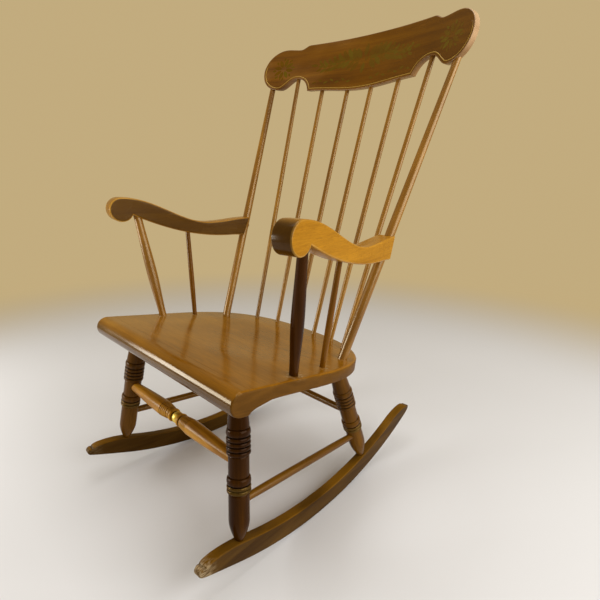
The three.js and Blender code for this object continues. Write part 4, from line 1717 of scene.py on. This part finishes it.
@dataclass(frozen=True)
class Leaf:
    """One leaf of the painted spray: where its stalk starts, its size and the way it points."""

    across: float
    up: float
    length: float
    width: float
    degrees: float
    fullness: float = 0.8
    stalk_share: float = 1.15
    narrowing: float = 0.35
    steps: int = 9

    def mirrored(self) -> "Leaf":
        """Gives the same leaf on the rail's other half."""
        return replace(self, across=-self.across, degrees=180 - self.degrees)

    def outline(self) -> Outline:
        """Draws the leaf, widest near its stalk."""
        share = np.linspace(0, 1, self.steps)
        swell = np.sin(share * np.pi) ** self.fullness
        swell = swell * (self.stalk_share - self.narrowing * share) * self.width / 2
        upper = np.stack([share * self.length, swell], 1)
        lower = np.stack([share * self.length, -swell], 1)[-2:0:-1]
        ring = np.concatenate([upper, lower])[::-1]
        turn = turn_about_z(math.radians(self.degrees))[:2, :2]
        return ring @ turn.T + np.array([self.across, self.up])


@dataclass(frozen=True)
class Spray:
    """The painted spray on half of the rail: tufts of leaves, a rosette and sprigs below."""

    middle: tuple[Leaf, ...] = (
        Leaf(0, 68, 36, 14, 90), Leaf(0, 62, 12, 12, 0), Leaf(0, 52, 30, 12, -90),
    )
    tufts: int = 9
    tuft_start: float = 12.0
    tuft_pitch: float = 15.0
    tuft_rise: float = 60.0
    sway: float = 7.0
    sway_turn: float = 0.7
    tuft_size: float = 36.0
    tuft_loss: float = 2.1
    # ahead, up, length and width as shares of the tuft's size, degrees, further degrees each tuft
    tuft: tuple[tuple[float, ...], ...] = (
        (0, 4, 1.0, 0.42, 56, -3), (6, -3, 0.95, 0.40, -50, 3), (3, 1, 0.8, 0.34, 10, 0),
    )
    bud: Leaf = Leaf(12, 30, 7.5, 7.0, 0)
    bud_fall: float = 1.6
    tip: Leaf = Leaf(152, 62, 24, 8.5, 6)
    rosette: Band = (266.0, 62.0)
    petals: int = 8
    first_petal: float = 12.0
    # distance from the rosette's middle, turn round it in radians, length, width, further degrees
    petal: tuple[tuple[float, ...], ...] = ((7, 0.0, 25, 11, 0), (24, 0.4, 12, 6, 40))
    sprigs: int = 7
    sprig_start: Band = (30.0, 8.0)
    sprig_pitch: Band = (19.0, 1.1)
    sprig_size: Band = (15.0, 5.0)
    sprig_degrees: Band = (-16.0, 30.0)

    def leaves(self) -> list[Leaf]:
        """Lays out the whole spray, the same to both sides of the middle."""
        half = [*self._tufts(), self.tip, *self._rosette(), *self._sprigs()]
        return [*self.middle, *(turned for leaf in half for turned in (leaf, leaf.mirrored()))]

    def _tufts(self) -> list[Leaf]:
        """Lays out the tufts, smaller from the middle outwards, each with a bud over it."""
        found = []
        for step in range(self.tufts):
            across = self.tuft_start + self.tuft_pitch * step
            rise = self.tuft_rise + self.sway * math.sin(step * self.sway_turn)
            size = self.tuft_size - self.tuft_loss * step
            for ahead, up, length, width, degrees, turn in self.tuft:
                place = (across + ahead, rise + up)
                found.append(Leaf(*place, size * length, size * width, degrees + turn * step))
            up = rise + self.bud.up - self.bud_fall * step
            found.append(replace(self.bud, across=across + self.bud.across, up=up))
        return found

    def _rosette(self) -> list[Leaf]:
        """Lays out the rosette's petals and berries."""
        found = []
        for number in range(self.petals):
            angle = 360 / self.petals * number + self.first_petal
            for reach, ahead, length, width, degrees in self.petal:
                turn = math.radians(angle) + ahead
                across, up = self.rosette + reach * np.array([math.cos(turn), math.sin(turn)])
                found.append(Leaf(across, up, length, width, angle + degrees))
        return found

    def _sprigs(self) -> list[Leaf]:
        """Lays out the sprigs along the lower edge, which point down and up in turn."""
        found = []
        for step in range(self.sprigs):
            place = np.array(self.sprig_start) + np.array(self.sprig_pitch) * step
            found.append(Leaf(*place, *self.sprig_size, self.sprig_degrees[step % 2]))
        return found


@dataclass(frozen=True)
class CrestRail:
    """The bent, leaning rail on top of the back, with an ear at each end and a faded stencil."""

    seat: SeatBoard
    rise: float = 569.0
    setback: float = 638.0
    rake_degrees: float = 20.5
    bend_radius: float = 835.0
    thickness: float = 20.0
    height: float = 127.0
    sag: float = 20.0
    step_reach: float = 169.0
    step_drop: float = 9.0
    arch_reach: float = 218.0
    arch_height: float = 30.0
    ear_reach: float = 270.0
    ear_radius: float = 60.0
    shoulder_reach: float = 196.0
    notch_reach: float = 224.0
    notch_height: float = 116.0
    rounding: float = 2.4
    bead_inset: float = 5.0
    bead_width: float = 3.8
    bead_groove: float = 0.7
    bead_wall: float = 0.4
    bead_lip: float = 0.9
    bead_shoulder: float = 0.1
    bead_crown: float = 0.15
    bead_line: float = 0.6
    bead_top: Band = (-92.0, 24.0)
    bead_gilt: float = 0.95
    groove_shade: float = 0.8
    # Painted shade: how much the front darkens towards the +X end, and where it starts
    shade: float = 0.32
    shade_start_share: float = 0.15
    # Painted light: how much the front lightens towards the -X end
    bleaching: float = 0.10
    least_rub: float = 0.3
    # Reach of the painted highlight on the ears' ends, as a share of the ear's radius
    ear_rub_share: float = 0.625
    wall_share: float = 0.8
    film_depth: float = 0.3
    film_height: float = 0.12
    bronze_left: Band = (0.55, 0.95)
    spray: Spray = Spray()
    spray_seed: int = 7

    def place(self, flat: Array, level: Array) -> Array:
        """Puts points of the rail into the chair.

        Args:
            flat: the points as [round the bend, up the rake].
            level: their distance in front of the rail's middle.

        Returns:
            Their places.
        """
        rake = math.radians(self.rake_degrees)
        across = self.bend_radius * np.sin(flat[:, 0] / self.bend_radius)
        radius = self.bend_radius - level / math.cos(rake)
        forward = self.bend_radius - np.sqrt(radius**2 - across**2)
        height = flat[:, 1]
        back = self.setback - forward + height * math.sin(rake)
        up = self.seat.nose_height + self.rise + height * math.cos(rake)
        return np.stack([across, back, up], 1)

    def lower_edge(self) -> Outline:
        """Draws half of the lower edge, from the middle out to the end of the ear."""
        quarter = (self.arch_reach - self.step_reach) / 4
        return joined(
            wave((0, -self.sag), (self.step_reach, -self.step_drop), 26),
            bend(
                (self.step_reach, -self.step_drop),
                (self.step_reach + quarter, self.arch_height),
                (self.arch_reach, self.arch_height),
                14,
            ),
            wave((self.arch_reach, self.arch_height), (self.ear_reach, 0), 14),
            arc((self.ear_reach, self.ear_radius), self.ear_radius, -90, 0, 16),
        )

    def outline(self) -> Outline:
        """Draws the whole rail, counterclockwise, seen from the front."""
        top = 2 * self.ear_radius
        upper = joined(
            arc((self.ear_reach, self.ear_radius), self.ear_radius, 0, 90, 16),
            wave((self.ear_reach, top), (self.notch_reach, self.notch_height), 9),
            wave((self.notch_reach, self.notch_height), (self.shoulder_reach, self.height), 7),
            np.stack([np.linspace(self.shoulder_reach, 0, 26), np.full(26, self.height)], 1),
        )
        half = joined(self.lower_edge(), upper)
        other = half[half[:, 0] > SAME][::-1] * np.array([-1, 1])
        return np.concatenate([half, other])

    def mouth(self, share: float, side: int) -> Array:
        """Finds where a stick enters the rail.

        Args:
            share: how far out, from the middle to the end of the ear.
            side: the hand's sign.

        Returns:
            The place on the lower edge.
        """
        reach = share * (self.ear_reach + self.ear_radius)
        edge = self.lower_edge()
        height = np.interp(reach, edge[:, 0], edge[:, 1])
        return self.place(np.array([[side * reach, height]]), np.zeros(1))[0]

    def _bead(self) -> list[Band]:
        """Shapes the bead that runs inside the edge, as [inset, drop below the face]."""
        start, end = self.bead_inset, self.bead_inset + self.bead_width
        return [
            (start, 0.0), (start + self.bead_wall, self.bead_groove),
            (start + self.bead_lip, self.bead_shoulder),
            (start + self.bead_width / 2, -self.bead_crown),
            (end - self.bead_lip, self.bead_shoulder),
            (end - self.bead_wall, self.bead_groove), (end, 0.0),
        ]

    def _low(self, points: Array) -> Array:
        """Says where the bead is cut: round the ears and along the lower edge."""
        return rising(-points[:, 1], *self.bead_top)

    def _marks(self, points: Outline, depth: float, level: float) -> Marks:
        """Marks the bead's gilding and grooves, the pale arrises, and the painted light and shade across
        the front.

        Args:
            points: the points as [round the bend, up the rake].
            depth: their inset from the outline.
            level: their height in the thickness, above zero in front.

        Returns:
            The marks.
        """
        front = level > 0
        start, end = self.bead_inset, self.bead_inset + self.bead_width
        on_bead = start + self.bead_line < depth < end - self.bead_line
        in_groove = front and start < depth < end and not on_bead
        low = self._low(points)
        wall = depth < self.rounding * self.wall_share
        # The arrises are lightened a little everywhere as rubbing, and fully on the ears as a painted
        # highlight
        ear = rising(np.abs(points[:, 0]), self.ear_reach, self.ear_radius * self.ear_rub_share)
        rub = self.least_rub + (1 - self.least_rub) * ear
        across = points[:, 0] / self.ear_reach
        # Painted shade, darker towards the +X end of the front
        shade = self.shade * np.clip(across + self.shade_start_share, 0, 1) * front
        return {
            "gilt": self.bead_gilt * low * (on_bead and front),
            # Painted light on the front, lighter towards the -X end
            "worn": np.maximum(wall * rub, self.bleaching * np.clip(-across, 0, 1) * front),
            "hollow": np.maximum(self.groove_shade * in_groove * low, shade * (not wall)),
        }

    def build(self) -> None:
        """Bends the rail and paints its stencil."""
        plank = Plank(
            "crest_rail_bent", self.outline(), self.thickness, self.rounding, self.place,
            support=1.2, fill_spacing=9.0, lines=self._bead(), line_share=self._low,
        )
        made = plank.stock(self._marks)
        tree_place = made.tree_place
        made.object(BROWN_MAPLE, ["crest_rail"])
        self._stencil(tree_place)

    def _stencil(self, tree_place: Array) -> None:
        """Paints a faded spray of leaves and berries on the rail's face.

        Args:
            tree_place: where the rail's wood lies in the tree, so that its figure shows through.
        """
        made = Stock("crest_stencil")
        made.tree_place = tree_place
        draw = random.Random(self.spray_seed)
        for leaf in self.spray.leaves():
            self._paint(made, leaf, draw.uniform(*self.bronze_left))
        made.object(STENCIL)

    def _paint(self, made: Stock, leaf: Leaf, bronze: float) -> None:
        """Paints one leaf as a thin film that follows the bend.

        Args:
            made: the stock that it joins.
            leaf: the leaf.
            bronze: how much of its bronze is left.
        """
        ring = leaf.outline()
        count = len(ring)
        face = self.thickness / 2
        flat = np.column_stack([ring, np.full(count, face)])
        under, top = (
            made.add(self.place(ring, np.full(count, level)), flat, gilt=bronze)
            for level in (face - self.film_depth, face + self.film_height)
        )
        made.web(under, 2, count)
        made.close(under, count, backwards=True)
        made.close(top, count)


@dataclass(frozen=True)
class Back:
    """The two posts and six spindles between the seat and the crest rail."""

    seat: SeatBoard
    crest: CrestRail
    spindle_inset: float = 22.0
    post_inset: float = 27.0
    post_radius: float = 10.5
    post_top_radius: float = 7.5
    post_taper_share: float = 0.45
    spindle_stick: Stick = Stick(5.6, 6.4, 5.6, swell_share=0.4, around=28)
    post_foot_share: float = 0.9
    post_top_share: float = 0.894
    spindle_foot_shares: tuple[float, ...] = (0.136, 0.412, 0.656)
    spindle_top_shares: tuple[float, ...] = (0.118, 0.377, 0.653)
    tuck: float = 9.0

    def post(self, side: int) -> tuple[Array, Array]:
        """Finds the foot and the head of a post."""
        foot = self.seat.back_foot(self.post_foot_share, self.post_inset, side)
        return foot, self.crest.mouth(self.post_top_share, side)

    def spindle(self, number: int, side: int) -> tuple[Array, Array]:
        """Finds the foot and the head of a spindle, counted out from the middle."""
        foot = self.seat.back_foot(self.spindle_foot_shares[number], self.spindle_inset, side)
        return foot, self.crest.mouth(self.spindle_top_shares[number], side)

    def build(self) -> None:
        """Turns the posts and the spindles."""
        share = np.linspace(0, 1, 61)
        for hand in Hand:
            foot, head = self.post(hand.value)
            length = length_between(foot, head)
            taper = rising(share, self.post_taper_share, 1 - self.post_taper_share)
            radius = self.post_radius + (self.post_top_radius - self.post_radius) * taper
            profile = np.stack([share * (length + 2 * self.tuck) - self.tuck, radius], 1)
            turning = Turning(f"post_turned_{hand.word}", foot, head, profile)
            turning.turn(STICK_MAPLE, f"post_{hand.word}")
        places = [(hand, place) for hand in Hand for place in range(len(self.spindle_foot_shares))]
        for number, (hand, place) in enumerate(places, 1):
            turning = self.spindle_stick.turning(
                f"spindle_turned_{number}", *self.spindle(place, hand.value)
            )
            turning.turn(STICK_MAPLE, f"spindle_{number}")


@dataclass(frozen=True)
class Arms:
    """The two scrolled arms, each on a support and a spindle and screwed to its post."""

    seat: SeatBoard
    back: Back
    width: float = 40.0
    rounding: float = 3.2
    overhang: float = 39.0
    front_setback: float = 67.0
    scroll_radius: float = 29.0
    scroll_rise: float = 246.0
    notch_degrees: float = 27.0
    dip_from_post: float = 113.0
    dip_rise: float = 205.0
    belly_from_post: float = 55.0
    belly_rise: float = 166.0
    rear_top_rise: float = 212.0
    rear_bottom_rise: float = 164.0
    support_inset: float = 22.0
    support_setback: float = 161.0
    support_top_reach: float = 68.0
    support_top_inset: float = 6.0
    support_stick: Stick = Stick(9.0, 12.6, 9.6, swell_share=0.45)
    spindle_inset: float = 30.0
    spindle_setback: float = 253.0
    spindle_top_reach: float = 195.0
    spindle_top_inset: float = 10.0
    spindle_stick: Stick = Stick(5.8, 6.6, 5.8, swell_share=0.4, around=28)
    foot_scratches: Triple = (1.0, 0.5, 0.6)
    rear_gap: float = 4.0
    plug_radius: float = 4.8
    plug_depth: float = 3.0
    plug_crown: float = 1.0
    plug_middle: float = 0.3
    rub_start: float = 0.15
    rub_depth_share: float = 0.9
    least_rub: float = 0.30
    scroll_rub: float = 0.5
    scroll_rub_fullness: float = 1.3
    scroll_rub_length: float = 70.0
    wall_share: float = 0.5
    end_grain_spread: float = 1.6
    # The right scroll's end grain is darkened a quarter as much: the left one's extra darkness is
    # painted shade
    right_end_grain: float = 0.25
    # Painted shade on the arms' inner sides
    inner_shade: float = 0.88

    def line(self, side: int) -> tuple[Array, Array, float, float]:
        """Finds an arm's middle line.

        Args:
            side: the hand's sign.

        Returns:
            Its front end, the direction back along it, its length to the post's axis, and how
            far the post leans along it for each unit of height.
        """
        foot, head = self.back.post(side)
        height = self.seat.nose_height + (self.rear_top_rise + self.rear_bottom_rise) / 2
        rear = foot + (head - foot) * (height - foot[2]) / (head[2] - foot[2])
        front = np.array([side * (self.seat.width / 2 + self.overhang), self.front_setback, height])
        along = unit(rear - front)
        lean = float(np.dot(head - foot, along) / (head[2] - foot[2]))
        return front, along, length_between(front, rear), lean

    def place(self, side: int, flat: Array, across: Array) -> Array:
        """Puts points of an arm's side into the chair.

        Args:
            side: the hand's sign.
            flat: the points as [back from the front end, up from the nose of the seat].
            across: their distance across the arm.

        Returns:
            Their places.
        """
        front, along, _, _ = self.line(side)
        local = np.column_stack([across, flat])
        turn = turn_about_z(math.atan2(-along[0], along[1]))
        return local @ turn.T + np.array([front[0], front[1], self.seat.nose_height])

    def _end(self, rise: float) -> tuple[float, float]:
        """Finds the arm's rear end, a little inside the post.

        Args:
            rise: the height over the nose of the seat.

        Returns:
            The place as (back, up).
        """
        _, _, length, lean = self.line(Hand.LEFT.value)
        middle = (self.rear_top_rise + self.rear_bottom_rise) / 2
        return length + (rise - middle) * lean - self.rear_gap, rise

    def _underside(self) -> Outline:
        """Draws the underside from the scroll's notch to the rear end."""
        turn = math.radians(-self.notch_degrees)
        notch = (
            self.scroll_radius + self.scroll_radius * math.cos(turn),
            self.scroll_rise + self.scroll_radius * math.sin(turn),
        )
        belly = (self.line(Hand.LEFT.value)[2] - self.belly_from_post, self.belly_rise)
        corner = ((notch[0] + belly[0]) / 2, self.belly_rise)
        tail = wave(belly, self._end(self.rear_bottom_rise), 6)
        return joined(bend(notch, corner, belly, 30), tail)

    def outline(self) -> Outline:
        """Draws an arm's side, counterclockwise."""
        top = (self.scroll_radius, self.scroll_rise + self.scroll_radius)
        dip = (self.line(Hand.LEFT.value)[2] - self.dip_from_post, self.dip_rise)
        centre = (self.scroll_radius, self.scroll_rise)
        scroll = arc(centre, self.scroll_radius, 90, 360 - self.notch_degrees, 40)
        return joined(
            scroll[:-1],
            self._underside(),
            wave(self._end(self.rear_top_rise), dip, 14),
            wave(dip, top, 26)[1:-1],
        )

    def under(self, reach: float, inset_by: float, side: int) -> Array:
        """Finds where a stick enters an arm.

        Args:
            reach: its distance back from the front end.
            inset_by: how far towards the sitter it stands.
            side: the hand's sign.

        Returns:
            The place on the arm's underside.
        """
        edge = self._underside()
        height = np.interp(reach, edge[:, 0], edge[:, 1])
        return self.place(side, np.array([[reach, height]]), np.array([-side * inset_by]))[0]

    def feet(self, side: int) -> Array:
        """Finds where an arm's support and spindle stand on the seat.

        Args:
            side: the hand's sign.

        Returns:
            The two places.
        """
        half = self.seat.width / 2
        return self.seat.place([
            [side * (half - self.support_inset), self.support_setback, 0],
            [side * (half - self.spindle_inset), self.spindle_setback, 0],
        ])

    def scratched_feet(self) -> list[tuple[Array, float]]:
        """Lists the feet of supports, spindles and posts, each with how scratched the seat is there."""
        found = []
        for hand in Hand:
            feet = (*self.feet(hand.value), self.back.post(hand.value)[0])
            found += zip(feet, self.foot_scratches)
        return found

    def _sticks(self, hand: Hand) -> None:
        """Turns an arm's support and spindle.

        Args:
            hand: the arm's side.
        """
        side = hand.value
        support, spindle = self.feet(side)
        head = self.under(self.support_top_reach, self.support_top_inset, side)
        turning = self.support_stick.turning(f"arm_support_turned_{hand.word}", support, head)
        # The left support gets a near-black copy of the stick stain: painted shade
        finish = SHADED_SUPPORT_MAPLE if hand is Hand.LEFT else STICK_MAPLE
        turning.turn(finish, f"arm_support_{hand.word}")
        head = self.under(self.spindle_top_reach, self.spindle_top_inset, side)
        turning = self.spindle_stick.turning(f"arm_spindle_turned_{hand.word}", spindle, head)
        turning.turn(BROWN_MAPLE, f"arm_spindle_{hand.word}")

    def _plug(self, hand: Hand) -> None:
        """Turns the wooden plug over an arm's screw, behind the post.

        Args:
            hand: the arm's side.
        """
        front, along, length, _ = self.line(hand.value)
        foot, head = self.back.post(hand.value)
        rear = front + along * length
        slant = math.acos(float(np.dot(unit(head - foot), -along)))
        surface = rear + along * self.back.post_radius / math.sin(slant)
        angle = np.linspace(0, 1, 7) * np.pi / 2
        radius = np.maximum(self.plug_radius * np.cos(angle), self.plug_middle)
        dome = np.stack([self.plug_crown * np.sin(angle), radius], 1)
        profile = joined((-self.plug_depth, self.plug_radius), dome)
        turning = Turning(f"screw_plug_turned_{hand.word}", surface, surface + along, profile, around=24)
        turning.turn(STICK_MAPLE, f"screw_plug_{hand.word}")

    def _marks(self, hand: Hand, points: Outline, depth: float, level: float) -> Marks:
        """Rubs the arrises pale, most of all round the scroll, darkens the scroll's end grain and paints
        shade on the inner side and on the left scroll's front.

        Args:
            hand: the arm's side.
            points: the points as [back, up].
            depth: their inset from the outline.
            level: their distance across the arm.

        Returns:
            The marks.
        """
        arris = self.rub_start < depth < self.rounding * self.rub_depth_share
        wall = depth < self.rounding * self.wall_share
        scroll = np.clip(self.scroll_rub_fullness - points[:, 0] / self.scroll_rub_length, 0, 1)
        toward = np.roll(points, -1, 0) - np.roll(points, 1, 0)
        faces_front = -unit(toward)[:, 1] * (points[:, 0] < self.scroll_radius)
        # End grain darkening, full on the left scroll where painted shade is added to it
        strength = 1.0 if hand is Hand.LEFT else self.right_end_grain
        end_grain = np.clip(faces_front * self.end_grain_spread, 0, 1) * wall * strength
        # Painted shade on the inner side
        inner = self.inner_shade * (level * hand.value < 0) * (not wall)
        worn = arris * (self.least_rub + self.scroll_rub * scroll)
        return {"worn": worn, "hollow": np.maximum(end_grain, inner)}

    def build(self) -> None:
        """Saws both arms and turns what holds them."""
        outline = self.outline()
        for hand in Hand:
            plank = Plank(
                f"arm_sawn_{hand.word}", outline, self.width, self.rounding,
                partial(self.place, hand.value),
            )
            plank.stock(partial(self._marks, hand)).object(ARM_MAPLE, [f"arm_{hand.word}"])
            self._sticks(hand)
            self._plug(hand)


def seen_rays(tree: bpy.types.NodeTree) -> Socket:
    """Picks out the rays that the eye, gloss and glass send.

    Args:
        tree: the nodes that they meet.

    Returns:
        The socket that gives 1 for such a ray and 0 for the rest.
    """
    path = tree.nodes.new("ShaderNodeLightPath")
    first, second = (tree.nodes.new("ShaderNodeMath") for _ in range(2))
    for node in (first, second):
        node.operation = "MAXIMUM"
    tree.links.new(path.outputs["Is Camera Ray"], first.inputs[0])
    tree.links.new(path.outputs["Is Glossy Ray"], first.inputs[1])
    tree.links.new(first.outputs[0], second.inputs[0])
    tree.links.new(path.outputs["Is Transmission Ray"], second.inputs[1])
    return second.outputs[0]


@dataclass(frozen=True)
class Lamp:
    """A soft lamp that the camera doesn't see, in metres and watts."""

    name: str
    place: Triple
    target: Triple
    size: Band
    watts: float

    def hang(self) -> None:
        """Hangs the lamp and aims it."""
        data = bpy.data.lights.new(self.name, "AREA")
        data.shape = "RECTANGLE"
        data.size, data.size_y = self.size
        data.energy = self.watts
        lamp = bpy.data.objects.new(self.name, data)
        lamp.location = self.place
        lamp.visible_camera = False
        ahead = Vector(self.target) - Vector(self.place)
        lamp.rotation_euler = ahead.to_track_quat("-Z", "Y").to_euler()
        bpy.context.scene.collection.objects.link(lamp)


@dataclass(frozen=True)
class Studio:
    """The pale floor, the soft lamps and the camera."""

    lamps: tuple[Lamp, ...] = (
        Lamp("window_left", (-1.15, -1.5, 0.62), (0.0, -0.15, 0.43), (0.9, 0.6), 22.0),
        Lamp("window_right", (2.05, 0.45, 1.25), (0.0, 0.1, 0.7), (2.3, 1.8), 52.0),
        Lamp("ceiling", (0.0, 0.1, 3.0), (0.0, 0.0, 0.4), (2.0, 2.0), 32.0),
    )
    camera_place: Triple = (0.78754, -0.69465, 0.75790)
    camera_right: Triple = (0.71203821, 0.70194894, 0.01640937)
    camera_down: Triple = (0.20898492, -0.18956163, -0.95937047)
    camera_ahead: Triple = (-0.6703185, 0.68653774, -0.28167187)
    lens: float = 26.7
    sensor: float = 36.0
    floor_radius: float = 40.0
    floor_steps: int = 96
    floor_colour: Colour = (0.74, 0.74, 0.75)
    floor_roughness: float = 0.9
    floor_gloss: float = 0.1
    floor_fade: Band = (1.2, 2.4)
    room_colour: Colour = (0.54, 0.41, 0.21)
    room_light: float = 0.42

    def build(self) -> None:
        """Lays the floor, hangs the lamps and sets up the camera."""
        self._floor()
        self._room()
        for lamp in self.lamps:
            lamp.hang()
        self._camera()
        log.info("studio: floor, room, %d lamps and camera", len(self.lamps))

    def _floor(self) -> None:
        """Lays a wide round floor."""
        angles = np.linspace(0, 2 * np.pi, self.floor_steps, endpoint=False)
        rim = [(self.floor_radius * math.cos(a), self.floor_radius * math.sin(a), 0.0) for a in angles]
        mesh = bpy.data.meshes.new("floor")
        mesh.from_pydata(rim, [], [tuple(range(len(rim)))])
        mesh.materials.append(self._paper())
        floor = bpy.data.objects.new("floor", mesh)
        bpy.context.scene.collection.objects.link(floor)

    def _paper(self) -> bpy.types.Material:
        """Makes the floor's paper, which fades into the room's pale tone far from the chair."""
        bench = Bench("floor_paper")
        bench.feed({
            "Base Color": self.floor_colour,
            "Roughness": self.floor_roughness,
            "Specular IOR Level": self.floor_gloss,
        })
        place = bench.node("ShaderNodeTexCoord").outputs["Object"]
        away = bench.node("ShaderNodeVectorMath", operation="LENGTH")
        bench.join(place, away.inputs[0])
        near, far = self.floor_fade
        fade = bench.node("ShaderNodeMapRange", interpolation_type="SMOOTHSTEP")
        bench.join(away.outputs["Value"], fade.inputs["Value"])
        fade.inputs["From Min"].default_value = near
        fade.inputs["From Max"].default_value = far
        room = bench.node("ShaderNodeEmission")
        room.inputs["Color"].default_value = (*self.room_colour, 1.0)
        blend = bench.node("ShaderNodeMixShader")
        bench.join(bench.product(fade.outputs[0], seen_rays(bench.tree)), blend.inputs[0])
        bench.join(bench.surface.outputs[0], blend.inputs[1])
        bench.join(room.outputs[0], blend.inputs[2])
        bench.join(blend.outputs[0], bench.tree.nodes["Material Output"].inputs["Surface"])
        return bench.material

    def _room(self) -> None:
        """Lights the room evenly and shows a pale background to the eye and to gloss."""
        world = bpy.data.worlds.new("pale_room")
        world.use_nodes = True
        bpy.context.scene.world = world
        tree = world.node_tree
        ground = tree.nodes["Background"]
        ground.inputs["Color"].default_value = (*self.room_colour, 1.0)
        strength = tree.nodes.new("ShaderNodeMapRange")
        strength.inputs["To Min"].default_value = self.room_light
        strength.inputs["To Max"].default_value = 1.0
        tree.links.new(seen_rays(tree), strength.inputs["Value"])
        tree.links.new(strength.outputs[0], ground.inputs["Strength"])

    def _camera(self) -> None:
        """Sets up the camera at the photograph's viewpoint."""
        right, down, ahead = map(Vector, (self.camera_right, self.camera_down, self.camera_ahead))
        data = bpy.data.cameras.new("photo_camera")
        data.lens = self.lens
        data.sensor_width = self.sensor
        camera = bpy.data.objects.new("photo_camera", data)
        turn = Matrix((right, -down, -ahead)).transposed()
        camera.matrix_world = Matrix.Translation(self.camera_place) @ turn.to_4x4()
        bpy.context.scene.collection.objects.link(camera)
        bpy.context.scene.camera = camera


def main() -> None:
    """Builds the chair from the floor up and sets up the studio round it."""
    logging.basicConfig(level=logging.INFO, format="%(name)s: %(message)s")
    seat = SeatBoard()
    rockers = Rockers(seat)
    legs = Legs(seat, rockers)
    crest = CrestRail(seat)
    back = Back(seat, crest)
    arms = Arms(seat, back)
    seat.build(arms.scratched_feet())
    rockers.build()
    legs.build()
    Stretchers(legs).build()
    crest.build()
    back.build()
    arms.build()
    for hand in Hand:
        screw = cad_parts[f"arm_screw_{hand.word}"]
        for held in screw.material_slots:
            held.material = SCREW_STEEL.material()
    Studio().build()

    view = bpy.context.scene.view_settings
    view.view_transform = "Standard"


if __name__ == "__main__":
    main()
